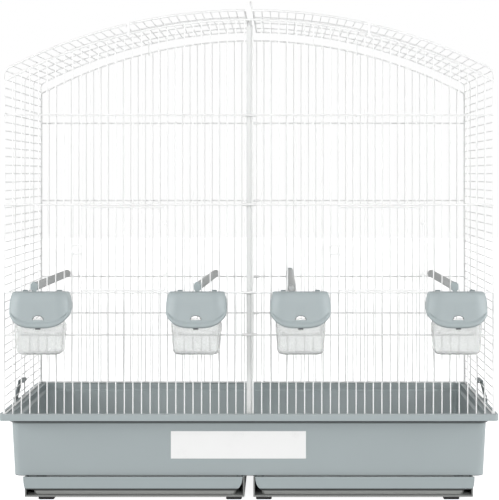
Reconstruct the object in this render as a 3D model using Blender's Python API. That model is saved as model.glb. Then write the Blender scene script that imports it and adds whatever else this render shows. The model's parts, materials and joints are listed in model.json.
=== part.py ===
"""Two-compartment wire bird cage with an arched roof, standing on a plastic tub with two drawers.

Front is -Y, +X is the viewer's right, z = 0 is the underside of the feet. Units are metres.
"""
import math

import bmesh
import bpy
from mathutils import Vector

# Wires and clearances
GAP = 0.0003
WIRE = 0.0015
FRAME_WIRE = 0.003
END_BAR = 0.0028
RAIL_DEPTH = 0.0018
RAIL_HEIGHT = 0.0026
DOOR_WIRE = 0.0023
ROUND_SIDES = 8
WELD_BITE = 0.0004
SHARP_DEGREES = 40

# Wire body
WIRE_PITCH = 0.012
FRONT_SPACES = 57
PANEL_DEPTH = 0.345
SIDE_CLEARANCE = 0.001
CROWN_Z = 0.6859
ARCH_RISE = 0.084
CORNER_RADIUS = 0.012
ARCH_STEP_DOWN = 0.0137
CORNER_STEPS = 4
ARCH_STEPS = 12
PANEL_ARCH_STEPS = 16
LONG_WIRE_SPACES = 4
LOW_RAIL_RISE = 0.110
FEEDER_OPENING_HEIGHT = 0.059
DOOR_OPENING_HEIGHT = 0.123
TOP_RAIL_DROP = 0.147

# Tub
RIM_BOTTOM_Z = 0.1129
RIM_TOP_Z = 0.1219
RIM_OVERHANG_FRONT = 0.010
RIM_OVERHANG_SIDE = 0.0051
RIM_CORNER_RADIUS = 0.006
GROOVE_DEPTH = 0.0038
GROOVE_OUT = 0.0018
GROOVE_CORNER_RADIUS = 0.001
INNER_LIP_THICKNESS = 0.0022
INNER_LIP_DROP = 0.0026
LEDGE_THICKNESS = 0.0025
TUB_BOTTOM_Z = 0.0332
TUB_WALL = 0.0026
WALL_INSET_FRONT = 0.007
WALL_INSET_SIDE = 0.0099
WALL_TAPER_FRONT = 0.002
WALL_TAPER_SIDE = 0.0038
STEP_OUT = 0.0035
STEP_HEIGHT = 0.011
STEP_SLOPE = 0.0025
TUB_CORNER_RADIUS = 0.012
TUB_CORNER_STEPS = 4
FLOOR_THICKNESS = 0.0025
FLOOR_LEDGE_SIDE = 0.024
FLOOR_LEDGE_FRONT = 0.018
FLOOR_BEAM_HALF = 0.018

# Drawer housings under the tub
HOUSING_INNER_X = 0.0062
HOUSING_OUTER_X = 0.3141
HOUSING_WALL = 0.0022
HOUSING_FRONT_INSET = 0.0055
HOUSING_BACK_INSET = 0.010
FOOT_HEIGHT = 0.0039
FOOT_SIZE = 0.022
FOOT_CHAMFER = 0.0012
FOOT_FRONT_INSET = 0.0015
FOOT_BACK_INSET = 0.020
FOOT_INNER_X = 0.021
FOOT_OUTER_X = 0.284

# Drawers
DRAWER_WALL = 0.002
DRAWER_SIDE_GAP = 0.0004
DRAWER_BAND_HEIGHT = 0.0172
DRAWER_TOP_GAP = 0.0008
DRAWER_BODY_INSET = 0.0078
DRAWER_BODY_TAPER = 0.0028
DRAWER_FRONT_RECESS = 0.005
DRAWER_PLATE = 0.0022
DRAWER_PLATE_OVERHANG = 0.002
DRAWER_OUTER_CUT = 0.0028
DRAWER_CORNER_RADIUS = 0.003
DRAWER_INNER_CUT = 0.0074
DRAWER_CUT_SHARES = ((0.0, 1.0), (0.16, 0.6), (0.42, 0.25), (0.75, 0.05))
DRAWER_FLOOR_GAP = 0.0008

# Label plate on the tub front
LABEL_LEFT_X = -0.1095
LABEL_RIGHT_X = 0.0801
LABEL_BOTTOM_Z = 0.0574
LABEL_TOP_Z = 0.0961
LABEL_THICKNESS = 0.0005

# Doors and their latches
DOOR_SPACES = 10
DOOR_FIRST_WIRE = 9
DOOR_SHIFT_WIRES = 30
DOOR_HINGE_OFFSET = 0.003
DOOR_MARGIN_Z = 0.0023
EYE_OUTER = 0.0032
EYE_HEIGHT = 0.003
EYE_WELD = 0.0013
EYE_INSET_Z = 0.024
LATCH_WIRE = 0.0018
LATCH_REACH = 0.014
LATCH_LOW_Z = 0.3449
LATCH_HIGH_Z = 0.3569

# Feeders
FEEDER_SPACES = 5
FEEDER_INNER_X = 0.072
FEEDER_OUTER_X = 0.288
HOOD_HALF_WIDTH = 0.041
HOOD_REACH = 0.047
HOOD_WALL = 0.0018
HOOD_REAR = 0.0034
HOOD_TOP_RISE = 0.002
HOOD_LOW_INSET = 0.0006
HOOD_TOP_INSET = 0.0058
HOOD_TOP_REAR = 0.0046
HOOD_CROWN_SHARES = ((0.3, 0.1), (0.6, 0.3), (0.87, 0.6))
HOOD_SIDE_DROP = 0.025
HOOD_FRONT_DROP = 0.0455
HOOD_LIP_HEIGHT = 0.006
HOOD_LIP_SLOPE = 0.005
HOOD_FLARE = 0.0014
HOOD_FRONT_RADIUS = 0.018
HOOD_EDGE_POWER = 4.0
HOOD_ARC_STEPS = 4
HOOD_FRONT_STEPS = 6
LUG_OFFSET_X = 0.024
LUG_WIDTH = 0.007
LUG_ARM_WIDTH = 0.005
LUG_ARM_HEIGHT = 0.0026
LUG_ARM_LENGTH = 0.008
LUG_OUTER = 0.0042
LUG_STEPS = 7
LUG_FRONT_DEGREES = 20
LUG_BACK_DEGREES = 200
CATCH_WIDTH = 0.007
CATCH_HEIGHT = 0.0036
CATCH_THICKNESS = 0.0012
WINDOW_HALF_WIDTH = 0.0075
WINDOW_HEIGHT = 0.006
WINDOW_DROP = 0.0345
WINDOW_STEPS = 6
CUP_BOTTOM_Z = 0.2079
CUP_FRONT_Z = 0.2589
CUP_REAR_Z = 0.2469
CUP_STEP_Z = 0.2374
CUP_STEP = 0.0008
CUP_HALF_WIDTH = 0.0346
CUP_FRONT = 0.043
CUP_WALL = 0.0016
CUP_TAPER = 0.0012
CUP_EDGE = 0.006
CUP_FRONT_RADIUS = 0.015
CUP_ARC_STEPS = 4
CUP_REAR_CHAMFER = 0.003
CUP_HOOK_WIDTH = 0.006
CUP_HOOK_WIRE = 0.0016
CUP_HOOK_RISE = 0.0005
CUP_HOOK_DROP = 0.004
CUP_HOOK_BACK = 0.0006

# Perches
PERCH_RADIUS = 0.006
PERCH_SIDES = 10
PERCH_NECK_RADIUS = 0.004
PERCH_NECK_IN = 0.007
PERCH_NECK_OUT = 0.0027
PERCH_CLIP_WIDTH = 0.0094
PERCH_CLIP_HEIGHT = 0.013
PERCH_CLIP_OUT = 0.002
PERCH_CLIP_IN = 0.012
PERCH_CLIP_CHAMFER = 0.0025
PERCH_FRONT_PITCH_SHARES = (-25, -6, 5, 24)
PERCH_BACK_PITCH_SHARES = (-25, -5, 5, 24)
TURNED_PERCH_INDEX = 2

# Divider, its handle and its guides
DIVIDER_THICKNESS = 0.003
DIVIDER_END_GAP = 0.004
DIVIDER_TOP_DROP = 0.011
DIVIDER_FLOOR_GAP = 0.0005
DIVIDER_TOP_CHAMFER = 0.010
HANDLE_LENGTH = 0.085
HANDLE_WIRE = 0.0036
HANDLE_RISE = 0.039
HANDLE_FOOT_GAP = 0.0003
HANDLE_FOOT_LENGTH = 0.010
HANDLE_FOOT_WIDTH = 0.006
HANDLE_CORNER = 0.008
SLOT_WIRE_X = 0.006
GUIDE_WIDTH = 0.020
GUIDE_HEIGHT = 0.004
GUIDE_PLATE = 0.0018
GUIDE_PRONG = 0.0018
GUIDE_PRONG_LENGTH = 0.006
GUIDE_SLOT_GAP = 0.0004

# Hooks between the roof edge and the panels
ROOF_HOOK_SPACE = 14
ROOF_HOOK_WIDTH = 0.003
ROOF_HOOK_WIRE = 0.0015
ROOF_HOOK_PLAY = 0.0009

# Side clips that hold the wire body on the tub
CLIP_DEPTH_FROM_FRONT = 0.155
CLIP_WIDTH = 0.032
CLIP_PLATE = 0.002
CLIP_BARREL = 0.0024
CLIP_PIN_RADIUS = 0.001
CLIP_RIM_GAP = 0.0004
CLIP_PIN_OUT = 0.0018
CLIP_HOOK_RUNG = 2
CLIP_HOOK_RISE = 0.0055
CLIP_LIP_GAP = 0.0005
CLIP_LIP_BEHIND = 0.0006
EAR_THICKNESS = 0.003
EAR_DROP = 0.003
EAR_RISE = 0.004
EAR_BITE = 0.0009

# Levels and places worked out from the sizes above
FRONT_HALF = WIRE_PITCH * FRONT_SPACES / 2
SIDE_PLANE = FRONT_HALF + SIDE_CLEARANCE
RIM_HALF_X = SIDE_PLANE + RIM_OVERHANG_SIDE
RIM_HALF_Y = PANEL_DEPTH / 2 + RIM_OVERHANG_FRONT
CAGE_Y = (HOOD_REACH - RIM_OVERHANG_FRONT) / 2
FRONT_Y = CAGE_Y - PANEL_DEPTH / 2
BACK_Y = CAGE_Y + PANEL_DEPTH / 2
GROOVE_FLOOR_Z = RIM_TOP_Z - GROOVE_DEPTH
PANEL_BOTTOM_Z = GROOVE_FLOOR_Z + GAP + FRAME_WIRE / 2
ARCH_RADIUS = (SIDE_PLANE ** 2 + ARCH_RISE ** 2) / (2 * ARCH_RISE)
ARCH_CENTRE_Z = CROWN_Z - ARCH_RADIUS
PANEL_ARCH_RADIUS = ARCH_RADIUS - ARCH_STEP_DOWN
RAIL_OFFSET = WIRE / 2 + GAP + RAIL_DEPTH / 2
RAIL_FACE = RAIL_OFFSET + RAIL_DEPTH / 2
STILE_INSET = FRAME_WIRE + GAP
DOOR_OFFSET = RAIL_FACE + GAP + DOOR_WIRE / 2
FEEDER_RAIL_Z = RIM_TOP_Z + LOW_RAIL_RISE
PERCH_RAIL_Z = FEEDER_RAIL_Z + FEEDER_OPENING_HEIGHT
DOOR_RAIL_Z = PERCH_RAIL_Z + DOOR_OPENING_HEIGHT
TOP_RAIL_Z = CROWN_Z - TOP_RAIL_DROP
RAIL_ZS = (FEEDER_RAIL_Z, PERCH_RAIL_Z, DOOR_RAIL_Z, TOP_RAIL_Z)
PERCH_REST_Z = PERCH_RAIL_Z + RAIL_HEIGHT / 2 + GAP
HOUSING_BOTTOM_Z = FOOT_HEIGHT + GAP
HOUSING_TOP_Z = TUB_BOTTOM_Z - GAP
DRAWER_BOTTOM_Z = HOUSING_BOTTOM_Z + HOUSING_WALL + DRAWER_FLOOR_GAP
DRAWER_TOP_Z = TUB_BOTTOM_Z - DRAWER_TOP_GAP
WALL_HALF_X = SIDE_PLANE - WALL_INSET_SIDE
WALL_HALF_Y = PANEL_DEPTH / 2 - WALL_INSET_FRONT
DRAWER_FRONT_Y = FRONT_Y + HOUSING_FRONT_INSET - GAP - WELD_BITE
DIVIDER_TOP_Z = CROWN_Z - DIVIDER_TOP_DROP
HANDLE_TOP_Z = DIVIDER_TOP_Z + HANDLE_RISE
EYE_INNER = (DOOR_WIRE / math.sqrt(2) + GAP) / math.cos(math.pi / ROUND_SIDES)
LUG_INNER = (math.hypot(RAIL_DEPTH, RAIL_HEIGHT) / 2 + GAP) / math.cos(math.pi / ROUND_SIDES)
CLIP_PIN_X = RIM_HALF_X + CLIP_PIN_OUT
CLIP_PIN_Z = RIM_BOTTOM_Z - CLIP_RIM_GAP - CLIP_BARREL
CLIP_Y = FRONT_Y + CLIP_DEPTH_FROM_FRONT
FEEDER_XS = (-FEEDER_OUTER_X, -FEEDER_INNER_X, FEEDER_INNER_X, FEEDER_OUTER_X)


def clear_scene():
    """Empty the file so that only the cage is in it."""
    for item in list(bpy.data.objects):
        bpy.data.objects.remove(item, do_unlink=True)


def finish(name, colour, roughness, metallic=0.0, alpha=1.0):
    """Principled material with the colour, roughness and metallic value of one kind of piece."""
    material = bpy.data.materials.get(name)
    if material is None:
        material = bpy.data.materials.new(name)
        material.use_nodes = True
        shader = material.node_tree.nodes["Principled BSDF"]
        shader.inputs["Base Color"].default_value = (*colour, 1.0)
        shader.inputs["Roughness"].default_value = roughness
        shader.inputs["Metallic"].default_value = metallic
        shader.inputs["Alpha"].default_value = alpha
    return material


def white_wire():
    return finish("white_coated_wire", (0.86, 0.87, 0.86), 0.4)


def tub_plastic():
    return finish("blue_grey_tub_plastic", (0.37, 0.42, 0.44), 0.45)


def hood_plastic():
    return finish("blue_grey_hood_plastic", (0.44, 0.51, 0.54), 0.4)


def drawer_plastic():
    return finish("grey_drawer_plastic", (0.38, 0.42, 0.43), 0.45)


def clear_plastic():
    return finish("clear_cup_plastic", (0.85, 0.88, 0.88), 0.1, 0.0, 0.35)


def perch_plastic():
    return finish("grey_perch_plastic", (0.48, 0.49, 0.49), 0.55)


def white_plastic():
    return finish("white_plate_plastic", (0.82, 0.83, 0.82), 0.4)


def label_paper():
    return finish("plain_white_label", (0.88, 0.88, 0.87), 0.5)


def foot_rubber():
    return finish("black_rubber", (0.03, 0.03, 0.03), 0.8)


def pin_steel():
    return finish("steel_pin", (0.6, 0.6, 0.6), 0.3, 1.0)


def front_out(distance):
    """y of a point that far in front of the front wires."""
    return FRONT_Y - distance


def back_out(distance):
    """y of a point that far behind the back wires."""
    return BACK_Y + distance


def wire_x(index):
    """x of a front or back wire gap's centre, counted in pitches from the middle."""
    return index * WIRE_PITCH


def arch_z(radius, x):
    """Height of an arch of that radius at x."""
    return ARCH_CENTRE_Z + math.sqrt(radius ** 2 - x ** 2)


def loft(bm, loops, wrap=False):
    """Closed skin through equal point loops: capped at both ends, or joined last to first."""
    rings = [[bm.verts.new(point) for point in loop] for loop in loops]
    count = len(rings[0])
    pairs = list(zip(rings, rings[1:] + rings[:1]))
    if not wrap:
        pairs = pairs[:-1]
        bm.faces.new(rings[0])
        bm.faces.new(rings[-1])
    for low, high in pairs:
        for i in range(count):
            j = (i + 1) % count
            bm.faces.new((low[i], low[j], high[j], high[i]))


def bar(bm, points, side, width, thick, closed=False):
    """Wire of rectangular section along a flat polyline whose plane is square to side."""
    points = [Vector(point) for point in points]
    side = Vector(side).normalized()
    count = len(points)
    loops = []
    for i, point in enumerate(points):
        before = points[i - 1] if closed or i > 0 else None
        after = points[(i + 1) % count] if closed or i < count - 1 else None
        turns = [(b - a).normalized() for a, b in ((before, point), (point, after)) if a and b]
        normals = [side.cross(turn) for turn in turns]
        middle = sum(normals, Vector()).normalized()
        reach = thick / 2 / middle.dot(normals[0])
        corners = ((-1, -1), (1, -1), (1, 1), (-1, 1))
        loops.append([point + side * (s * width / 2) + middle * (t * reach) for s, t in corners])
    loft(bm, loops, wrap=closed)


def block(bm, low, high):
    """Box between two corners."""
    (x0, y0, z0), (x1, y1, z1) = low, high
    floor = [(x0, y0), (x1, y0), (x1, y1), (x0, y1)]
    loft(bm, [[(x, y, z) for x, y in floor] for z in (z0, z1)])


def circle(radius, sides, turn=0.0):
    """Points of a circle in its own plane."""
    step = 2 * math.pi / sides
    return [(radius * math.cos(turn + i * step), radius * math.sin(turn + i * step))
            for i in range(sides)]


def ring_z(bm, x, y, z0, z1, inner, outer):
    """Ring round an upright line."""
    flat = [(inner, z0), (outer, z0), (outer, z1), (inner, z1)]
    half_step = math.pi / ROUND_SIDES
    loft(bm, [[(x + u, y + v, z) for u, v in circle(radius, ROUND_SIDES, half_step)]
              for radius, z in flat], wrap=True)


def ring_y(bm, x, z, y0, y1, inner, outer):
    """Ring round a line that runs front to back."""
    flat = [(inner, y0), (outer, y0), (outer, y1), (inner, y1)]
    loft(bm, [[(x + u, y, z + v) for u, v in circle(radius, ROUND_SIDES)]
              for radius, y in flat], wrap=True)


def rod_y(bm, x, z, y0, y1, radius, sides):
    """Rod that runs front to back."""
    loft(bm, [[(x + u, y, z + v) for u, v in circle(radius, sides)] for y in (y0, y1)])


def rounded_rectangle(half_x, half_y, radius, steps):
    """Points round a rectangle with rounded corners, centred on the origin."""
    points = []
    for quarter, (sx, sy) in enumerate(((1, 1), (-1, 1), (-1, -1), (1, -1))):
        for i in range(steps + 1):
            angle = math.pi / 2 * (quarter + i / steps)
            points.append((sx * (half_x - radius) + radius * math.cos(angle),
                           sy * (half_y - radius) + radius * math.sin(angle)))
    return points


def raw_object(name, bm):
    """Object from a bmesh whose pieces all face out."""
    bmesh.ops.recalc_face_normals(bm, faces=bm.faces)
    mesh = bpy.data.meshes.new(name)
    bm.to_mesh(mesh)
    bm.free()
    thing = bpy.data.objects.new(name, mesh)
    bpy.context.collection.objects.link(thing)
    return thing


def made(name, bm, material, joins=(), cuts=(), origin=None, smooth=True):
    """Named sub-part: a body, with others joined to it and others cut out of it."""
    thing = raw_object(name, bm)
    tools = [(raw_object(name + "_join", join), "UNION") for join in joins]
    tools += [(raw_object(name + "_cut", cut), "DIFFERENCE") for cut in cuts]
    for tool, operation in tools:
        change = thing.modifiers.new(operation.lower(), "BOOLEAN")
        change.solver = "EXACT"
        change.operation = operation
        change.object = tool
    if tools:
        graph = bpy.context.evaluated_depsgraph_get()
        shaped = bpy.data.meshes.new_from_object(thing.evaluated_get(graph))
        thing.modifiers.clear()
        plain = thing.data
        thing.data = shaped
        bpy.data.meshes.remove(plain)
        for tool, _ in tools:
            bpy.data.objects.remove(tool, do_unlink=True)
    if origin is not None:
        place = Vector(origin)
        thing.data.vertices.foreach_set("co", [value for vertex in thing.data.vertices
                                               for value in vertex.co - place])
        thing.location = place
    thing.data.materials.clear()
    thing.data.materials.append(material)
    if smooth:
        thing.data.shade_smooth()
        thing.data.set_sharp_from_angle(angle=math.radians(SHARP_DEGREES))
    return thing


def tub_loop(inset_x, inset_y, z, radius):
    """Rounded rectangle round the tub, set in from the wire planes by the insets."""
    outline = rounded_rectangle(SIDE_PLANE - inset_x, PANEL_DEPTH / 2 - inset_y, radius,
                                TUB_CORNER_STEPS)
    return [(x, CAGE_Y + y, z) for x, y in outline]


def tub_profile():
    """The tub's section as insets from the wire planes, height and corner radius."""
    side, front = WALL_INSET_SIDE, WALL_INSET_FRONT
    low_side, low_front = side + WALL_TAPER_SIDE, front + WALL_TAPER_FRONT
    ledge_z = GROOVE_FLOOR_Z - LEDGE_THICKNESS
    step_z = GROOVE_FLOOR_Z - STEP_HEIGHT
    lip_z = RIM_TOP_Z - INNER_LIP_DROP
    groove_outer = -GROOVE_OUT
    band = STEP_OUT - TUB_WALL
    lip = band + INNER_LIP_THICKNESS
    radius = TUB_CORNER_RADIUS
    return [
        (low_side, low_front, TUB_BOTTOM_Z, radius),
        (side, front, step_z, radius),
        (side - STEP_OUT, front - STEP_OUT, step_z + STEP_SLOPE, radius),
        (side - STEP_OUT, front - STEP_OUT, ledge_z, radius),
        (groove_outer, groove_outer, ledge_z, GROOVE_CORNER_RADIUS),
        (groove_outer, groove_outer, RIM_BOTTOM_Z, GROOVE_CORNER_RADIUS),
        (-RIM_OVERHANG_SIDE, -RIM_OVERHANG_FRONT, RIM_BOTTOM_Z, RIM_CORNER_RADIUS),
        (-RIM_OVERHANG_SIDE, -RIM_OVERHANG_FRONT, RIM_TOP_Z, RIM_CORNER_RADIUS),
        (groove_outer, groove_outer, RIM_TOP_Z, GROOVE_CORNER_RADIUS),
        (groove_outer, groove_outer, GROOVE_FLOOR_Z, GROOVE_CORNER_RADIUS),
        (side - lip, front - lip, GROOVE_FLOOR_Z, radius),
        (side - lip, front - lip, lip_z, radius),
        (side - band, front - band, lip_z, radius),
        (side - band, front - band, step_z + STEP_SLOPE, radius),
        (side + TUB_WALL, front + TUB_WALL, step_z, radius),
        (low_side + TUB_WALL, low_front + TUB_WALL, TUB_BOTTOM_Z + FLOOR_THICKNESS, radius),
        (low_side + FLOOR_LEDGE_SIDE, low_front + FLOOR_LEDGE_FRONT,
         TUB_BOTTOM_Z + FLOOR_THICKNESS, radius),
        (low_side + FLOOR_LEDGE_SIDE, low_front + FLOOR_LEDGE_FRONT, TUB_BOTTOM_Z, radius),
    ]


def clip_ears(bm):
    """Pairs of ears on the rim that carry the side clips' pins."""
    half = CLIP_WIDTH / 2 + GAP
    for sign in (-1, 1):
        for end in (-1, 1):
            near = CLIP_Y + end * half
            far = near + end * EAR_THICKNESS
            xs = sorted((sign * (RIM_HALF_X - EAR_BITE), sign * (CLIP_PIN_X + CLIP_BARREL)))
            ys = sorted((near, far))
            block(bm, (xs[0], ys[0], CLIP_PIN_Z - EAR_DROP), (xs[1], ys[1], RIM_BOTTOM_Z + EAR_RISE))


def pin_holes(bm):
    """Holes through the ears for the side clips' pins."""
    reach = CLIP_WIDTH / 2 + EAR_THICKNESS + FRAME_WIRE
    for sign in (-1, 1):
        rod_y(bm, sign * CLIP_PIN_X, CLIP_PIN_Z, CLIP_Y - reach, CLIP_Y + reach,
              CLIP_PIN_RADIUS + GAP, ROUND_SIDES)


def build_tub():
    """Tub with the grooved rim, a beam across its open floor and ears for the side clips."""
    shell = bmesh.new()
    loft(shell, [tub_loop(*row) for row in tub_profile()], wrap=True)
    beam = bmesh.new()
    half_y = PANEL_DEPTH / 2 - WALL_INSET_FRONT - WALL_TAPER_FRONT - FLOOR_LEDGE_FRONT + TUB_WALL
    block(beam, (-FLOOR_BEAM_HALF, CAGE_Y - half_y, TUB_BOTTOM_Z + WELD_BITE),
          (FLOOR_BEAM_HALF, CAGE_Y + half_y, TUB_BOTTOM_Z + FLOOR_THICKNESS - WELD_BITE))
    ears = bmesh.new()
    clip_ears(ears)
    holes = bmesh.new()
    pin_holes(holes)
    made("base_tub", shell, tub_plastic(), joins=(beam, ears), cuts=(holes,))


def housing_limits():
    """Front and back of the drawer housings."""
    return FRONT_Y + HOUSING_FRONT_INSET, BACK_Y - HOUSING_BACK_INSET


def build_housing(name, sign):
    """Channel under the tub that one drawer runs in, closed at the back."""
    front, back = housing_limits()
    inner, outer = sign * HOUSING_INNER_X, sign * HOUSING_OUTER_X
    wall = sign * HOUSING_WALL
    floor_z = HOUSING_BOTTOM_Z + HOUSING_WALL
    section = [(inner, HOUSING_TOP_Z), (inner, HOUSING_BOTTOM_Z), (outer, HOUSING_BOTTOM_Z),
               (outer, HOUSING_TOP_Z), (outer - wall, HOUSING_TOP_Z), (outer - wall, floor_z),
               (inner + wall, floor_z), (inner + wall, HOUSING_TOP_Z)]
    bm = bmesh.new()
    loft(bm, [[(x, y, z) for x, z in section] for y in (front, back)])
    stop = bmesh.new()
    xs = sorted((inner + sign * WELD_BITE, outer - sign * WELD_BITE))
    block(stop, (xs[0], back - HOUSING_WALL, HOUSING_BOTTOM_Z + WELD_BITE),
          (xs[1], back - WELD_BITE, HOUSING_TOP_Z - WELD_BITE))
    made(name, bm, tub_plastic(), joins=(stop,), smooth=False)


def build_foot(name, x, y):
    """Rubber foot with bevelled edges."""
    half = FOOT_SIZE / 2
    low = half - FOOT_CHAMFER
    bm = bmesh.new()
    levels = ((low, 0.0), (half, FOOT_CHAMFER), (half, FOOT_HEIGHT))
    loft(bm, [[(x + size * u, y + size * v, z) for u, v in ((-1, -1), (1, -1), (1, 1), (-1, 1))]
              for size, z in levels])
    made(name, bm, foot_rubber(), smooth=False)


def build_feet():
    """Four feet in front and four behind."""
    front, back = housing_limits()
    rows = (("front", front + FOOT_FRONT_INSET + FOOT_SIZE / 2), ("back", back - FOOT_BACK_INSET))
    for row, y in rows:
        for index, x in enumerate((-FOOT_OUTER_X, -FOOT_INNER_X, FOOT_INNER_X, FOOT_OUTER_X)):
            build_foot("foot_%s_%d" % (row, index + 1), x, y)


def drawer_loop(inset, front_inset, z, cut=0.0):
    """Rounded rectangle round a drawer, set in from its upper band and cut in on the inner side."""
    front = DRAWER_FRONT_Y + front_inset
    back = BACK_Y - HOUSING_BACK_INSET - HOUSING_WALL - GAP - inset
    inner = HOUSING_INNER_X + HOUSING_WALL + DRAWER_SIDE_GAP + inset + cut
    outer = HOUSING_OUTER_X - HOUSING_WALL - DRAWER_SIDE_GAP - inset
    outline = rounded_rectangle((outer - inner) / 2, (back - front) / 2, DRAWER_CORNER_RADIUS, 1)
    return [((outer + inner) / 2 + x, (front + back) / 2 + y, z) for x, y in outline]


def drawer_plate(sign):
    """Plate on a drawer's front, which hides the end of the housing's outer wall."""
    low, height = DRAWER_TOP_Z - DRAWER_BAND_HEIGHT, DRAWER_BAND_HEIGHT
    inner = HOUSING_INNER_X + HOUSING_WALL + DRAWER_SIDE_GAP
    outer = HOUSING_OUTER_X + DRAWER_PLATE_OVERHANG
    outline = [(inner + DRAWER_INNER_CUT * cut, low + height * share)
               for share, cut in DRAWER_CUT_SHARES] + [(inner, DRAWER_TOP_Z), (outer, DRAWER_TOP_Z)]
    outline += [(outer - DRAWER_OUTER_CUT * cut, low + height * share)
                for share, cut in reversed(DRAWER_CUT_SHARES)]
    back = DRAWER_FRONT_Y + WELD_BITE
    bm = bmesh.new()
    loft(bm, [[(sign * x, y, z) for x, z in outline] for y in (back - DRAWER_PLATE, back)])
    return bm


def build_drawer(name, sign):
    """Open tray with a front plate, a deep band round its top and a tapered body below."""
    band_z = DRAWER_TOP_Z - DRAWER_BAND_HEIGHT
    body, low = DRAWER_BODY_INSET, DRAWER_BODY_INSET + DRAWER_BODY_TAPER
    recess = DRAWER_FRONT_RECESS
    wall = DRAWER_WALL
    cuts = [(band_z + DRAWER_BAND_HEIGHT * height, DRAWER_INNER_CUT * depth)
            for height, depth in DRAWER_CUT_SHARES]
    inside = [(z + wall * (DRAWER_TOP_Z - z) / DRAWER_BAND_HEIGHT, cut) for z, cut in cuts]
    loops = [
        drawer_loop(low, recess + DRAWER_BODY_TAPER, DRAWER_BOTTOM_Z),
        drawer_loop(body, recess, band_z),
        *[drawer_loop(0.0, 0.0, z, cut) for z, cut in cuts],
        drawer_loop(0.0, 0.0, DRAWER_TOP_Z),
        drawer_loop(wall, wall, DRAWER_TOP_Z),
        *[drawer_loop(wall, wall, z, cut) for z, cut in reversed(inside)],
        drawer_loop(body + wall, recess + wall, band_z + wall),
        drawer_loop(low + wall, recess + DRAWER_BODY_TAPER + wall, DRAWER_BOTTOM_Z + wall),
    ]
    bm = bmesh.new()
    loft(bm, [[(sign * x, y, z) for x, y, z in loop] for loop in loops])
    middle = sign * (HOUSING_INNER_X + HOUSING_OUTER_X) / 2
    made(name, bm, drawer_plastic(), joins=(drawer_plate(sign),),
         origin=(middle, DRAWER_FRONT_Y, DRAWER_BOTTOM_Z))


def tub_front_y(z):
    """y of the tub's front wall at a height."""
    share = (z - TUB_BOTTOM_Z) / (GROOVE_FLOOR_Z - STEP_HEIGHT - TUB_BOTTOM_Z)
    return CAGE_Y - WALL_HALF_Y + WALL_TAPER_FRONT * (1 - share)


def build_label():
    """Bare label plate that follows the slope of the tub's front wall."""
    bm = bmesh.new()
    loops = []
    for z in (LABEL_BOTTOM_Z, LABEL_TOP_Z):
        near = tub_front_y(z) - GAP
        far = near - LABEL_THICKNESS
        loops.append([(LABEL_LEFT_X, far, z), (LABEL_RIGHT_X, far, z),
                      (LABEL_RIGHT_X, near, z), (LABEL_LEFT_X, near, z)])
    loft(bm, loops)
    made("front_label", bm, label_paper(), smooth=False)


def panel_frame(bm, y):
    """Frame of a flat panel: bottom bar, two uprights and the arched bar on top."""
    points = [(-FRONT_HALF, y, PANEL_BOTTOM_Z), (FRONT_HALF, y, PANEL_BOTTOM_Z)]
    for i in range(PANEL_ARCH_STEPS + 1):
        x = FRONT_HALF * (1 - 2 * i / PANEL_ARCH_STEPS)
        points.append((x, y, arch_z(PANEL_ARCH_RADIUS, x)))
    bar(bm, points, (0, 1, 0), FRAME_WIRE, FRAME_WIRE, closed=True)


def upright(bm, x, y, low, high, out, low_bend, high_bend):
    """One upright wire, whose end bends out to a rail where an opening cuts it."""
    points = [(x, y, low), (x, y, high)]
    if low_bend:
        points.insert(0, (x, y + out, low))
    if high_bend:
        points.append((x, y + out, high))
    bar(bm, points, (1, 0, 0), WIRE, WIRE)


def opening_at(x):
    """Lower and upper rail of the front opening that cuts the wire at x, if one does."""
    for centre in FEEDER_XS:
        if abs(x - centre) < FEEDER_SPACES * WIRE_PITCH / 2 - WIRE:
            return FEEDER_RAIL_Z, PERCH_RAIL_Z
    for shift in (-1, 1):
        left, right = door_wires(shift)
        if left + WIRE < x < right - WIRE:
            return PERCH_RAIL_Z, DOOR_RAIL_Z
    return None


def door_wires(shift):
    """x of the fixed wires on both sides of the left (-1) or right (1) door opening."""
    first = wire_x(-DOOR_FIRST_WIRE - 1 / 2)
    if shift > 0:
        first += wire_x(DOOR_SHIFT_WIRES)
    return first - DOOR_SPACES * WIRE_PITCH, first


def panel_uprights(bm, y, out, with_openings):
    """Upright wires of a flat panel between its two outer uprights."""
    for index in range(1, FRONT_SPACES):
        x = index * WIRE_PITCH - FRONT_HALF
        top = arch_z(PANEL_ARCH_RADIUS, x) - FRAME_WIRE / 4
        cut = opening_at(x) if with_openings else None
        if cut is None:
            upright(bm, x, y, PANEL_BOTTOM_Z, top, out, False, False)
        else:
            upright(bm, x, y, PANEL_BOTTOM_Z, cut[0], out, False, True)
            upright(bm, x, y, cut[1], top, out, True, False)


def panel_rails(bm, y, out):
    """Rails outside the uprights, joined to the outer uprights."""
    for z in RAIL_ZS:
        bar(bm, [(-FRONT_HALF, y + out, z), (FRONT_HALF, y + out, z)], (0, 1, 0),
            RAIL_DEPTH, RAIL_HEIGHT)


def hinge_axis(shift):
    """x and y of a door's own hinge stile."""
    return door_wires(shift)[1] - DOOR_HINGE_OFFSET, front_out(DOOR_OFFSET)


def door_limits():
    """Lowest and highest edge of a door's frame."""
    low = PERCH_RAIL_Z + DOOR_MARGIN_Z
    high = DOOR_RAIL_Z - DOOR_MARGIN_Z
    return low, high


def hinge_eyes(rings, welds):
    """Eyes welded to the front wires, which the doors' stiles turn in."""
    low, high = door_limits()
    for shift in (-1, 1):
        x, y = hinge_axis(shift)
        fixed = door_wires(shift)[1]
        for z in (low + EYE_INSET_Z, high - EYE_INSET_Z):
            ring_z(rings, x, y, z - EYE_HEIGHT / 2, z + EYE_HEIGHT / 2, EYE_INNER, EYE_OUTER)
            half = EYE_WELD / 2
            block(welds, (fixed - half, y + EYE_WELD, z - half), (fixed + half, FRONT_Y, z + half))


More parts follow.
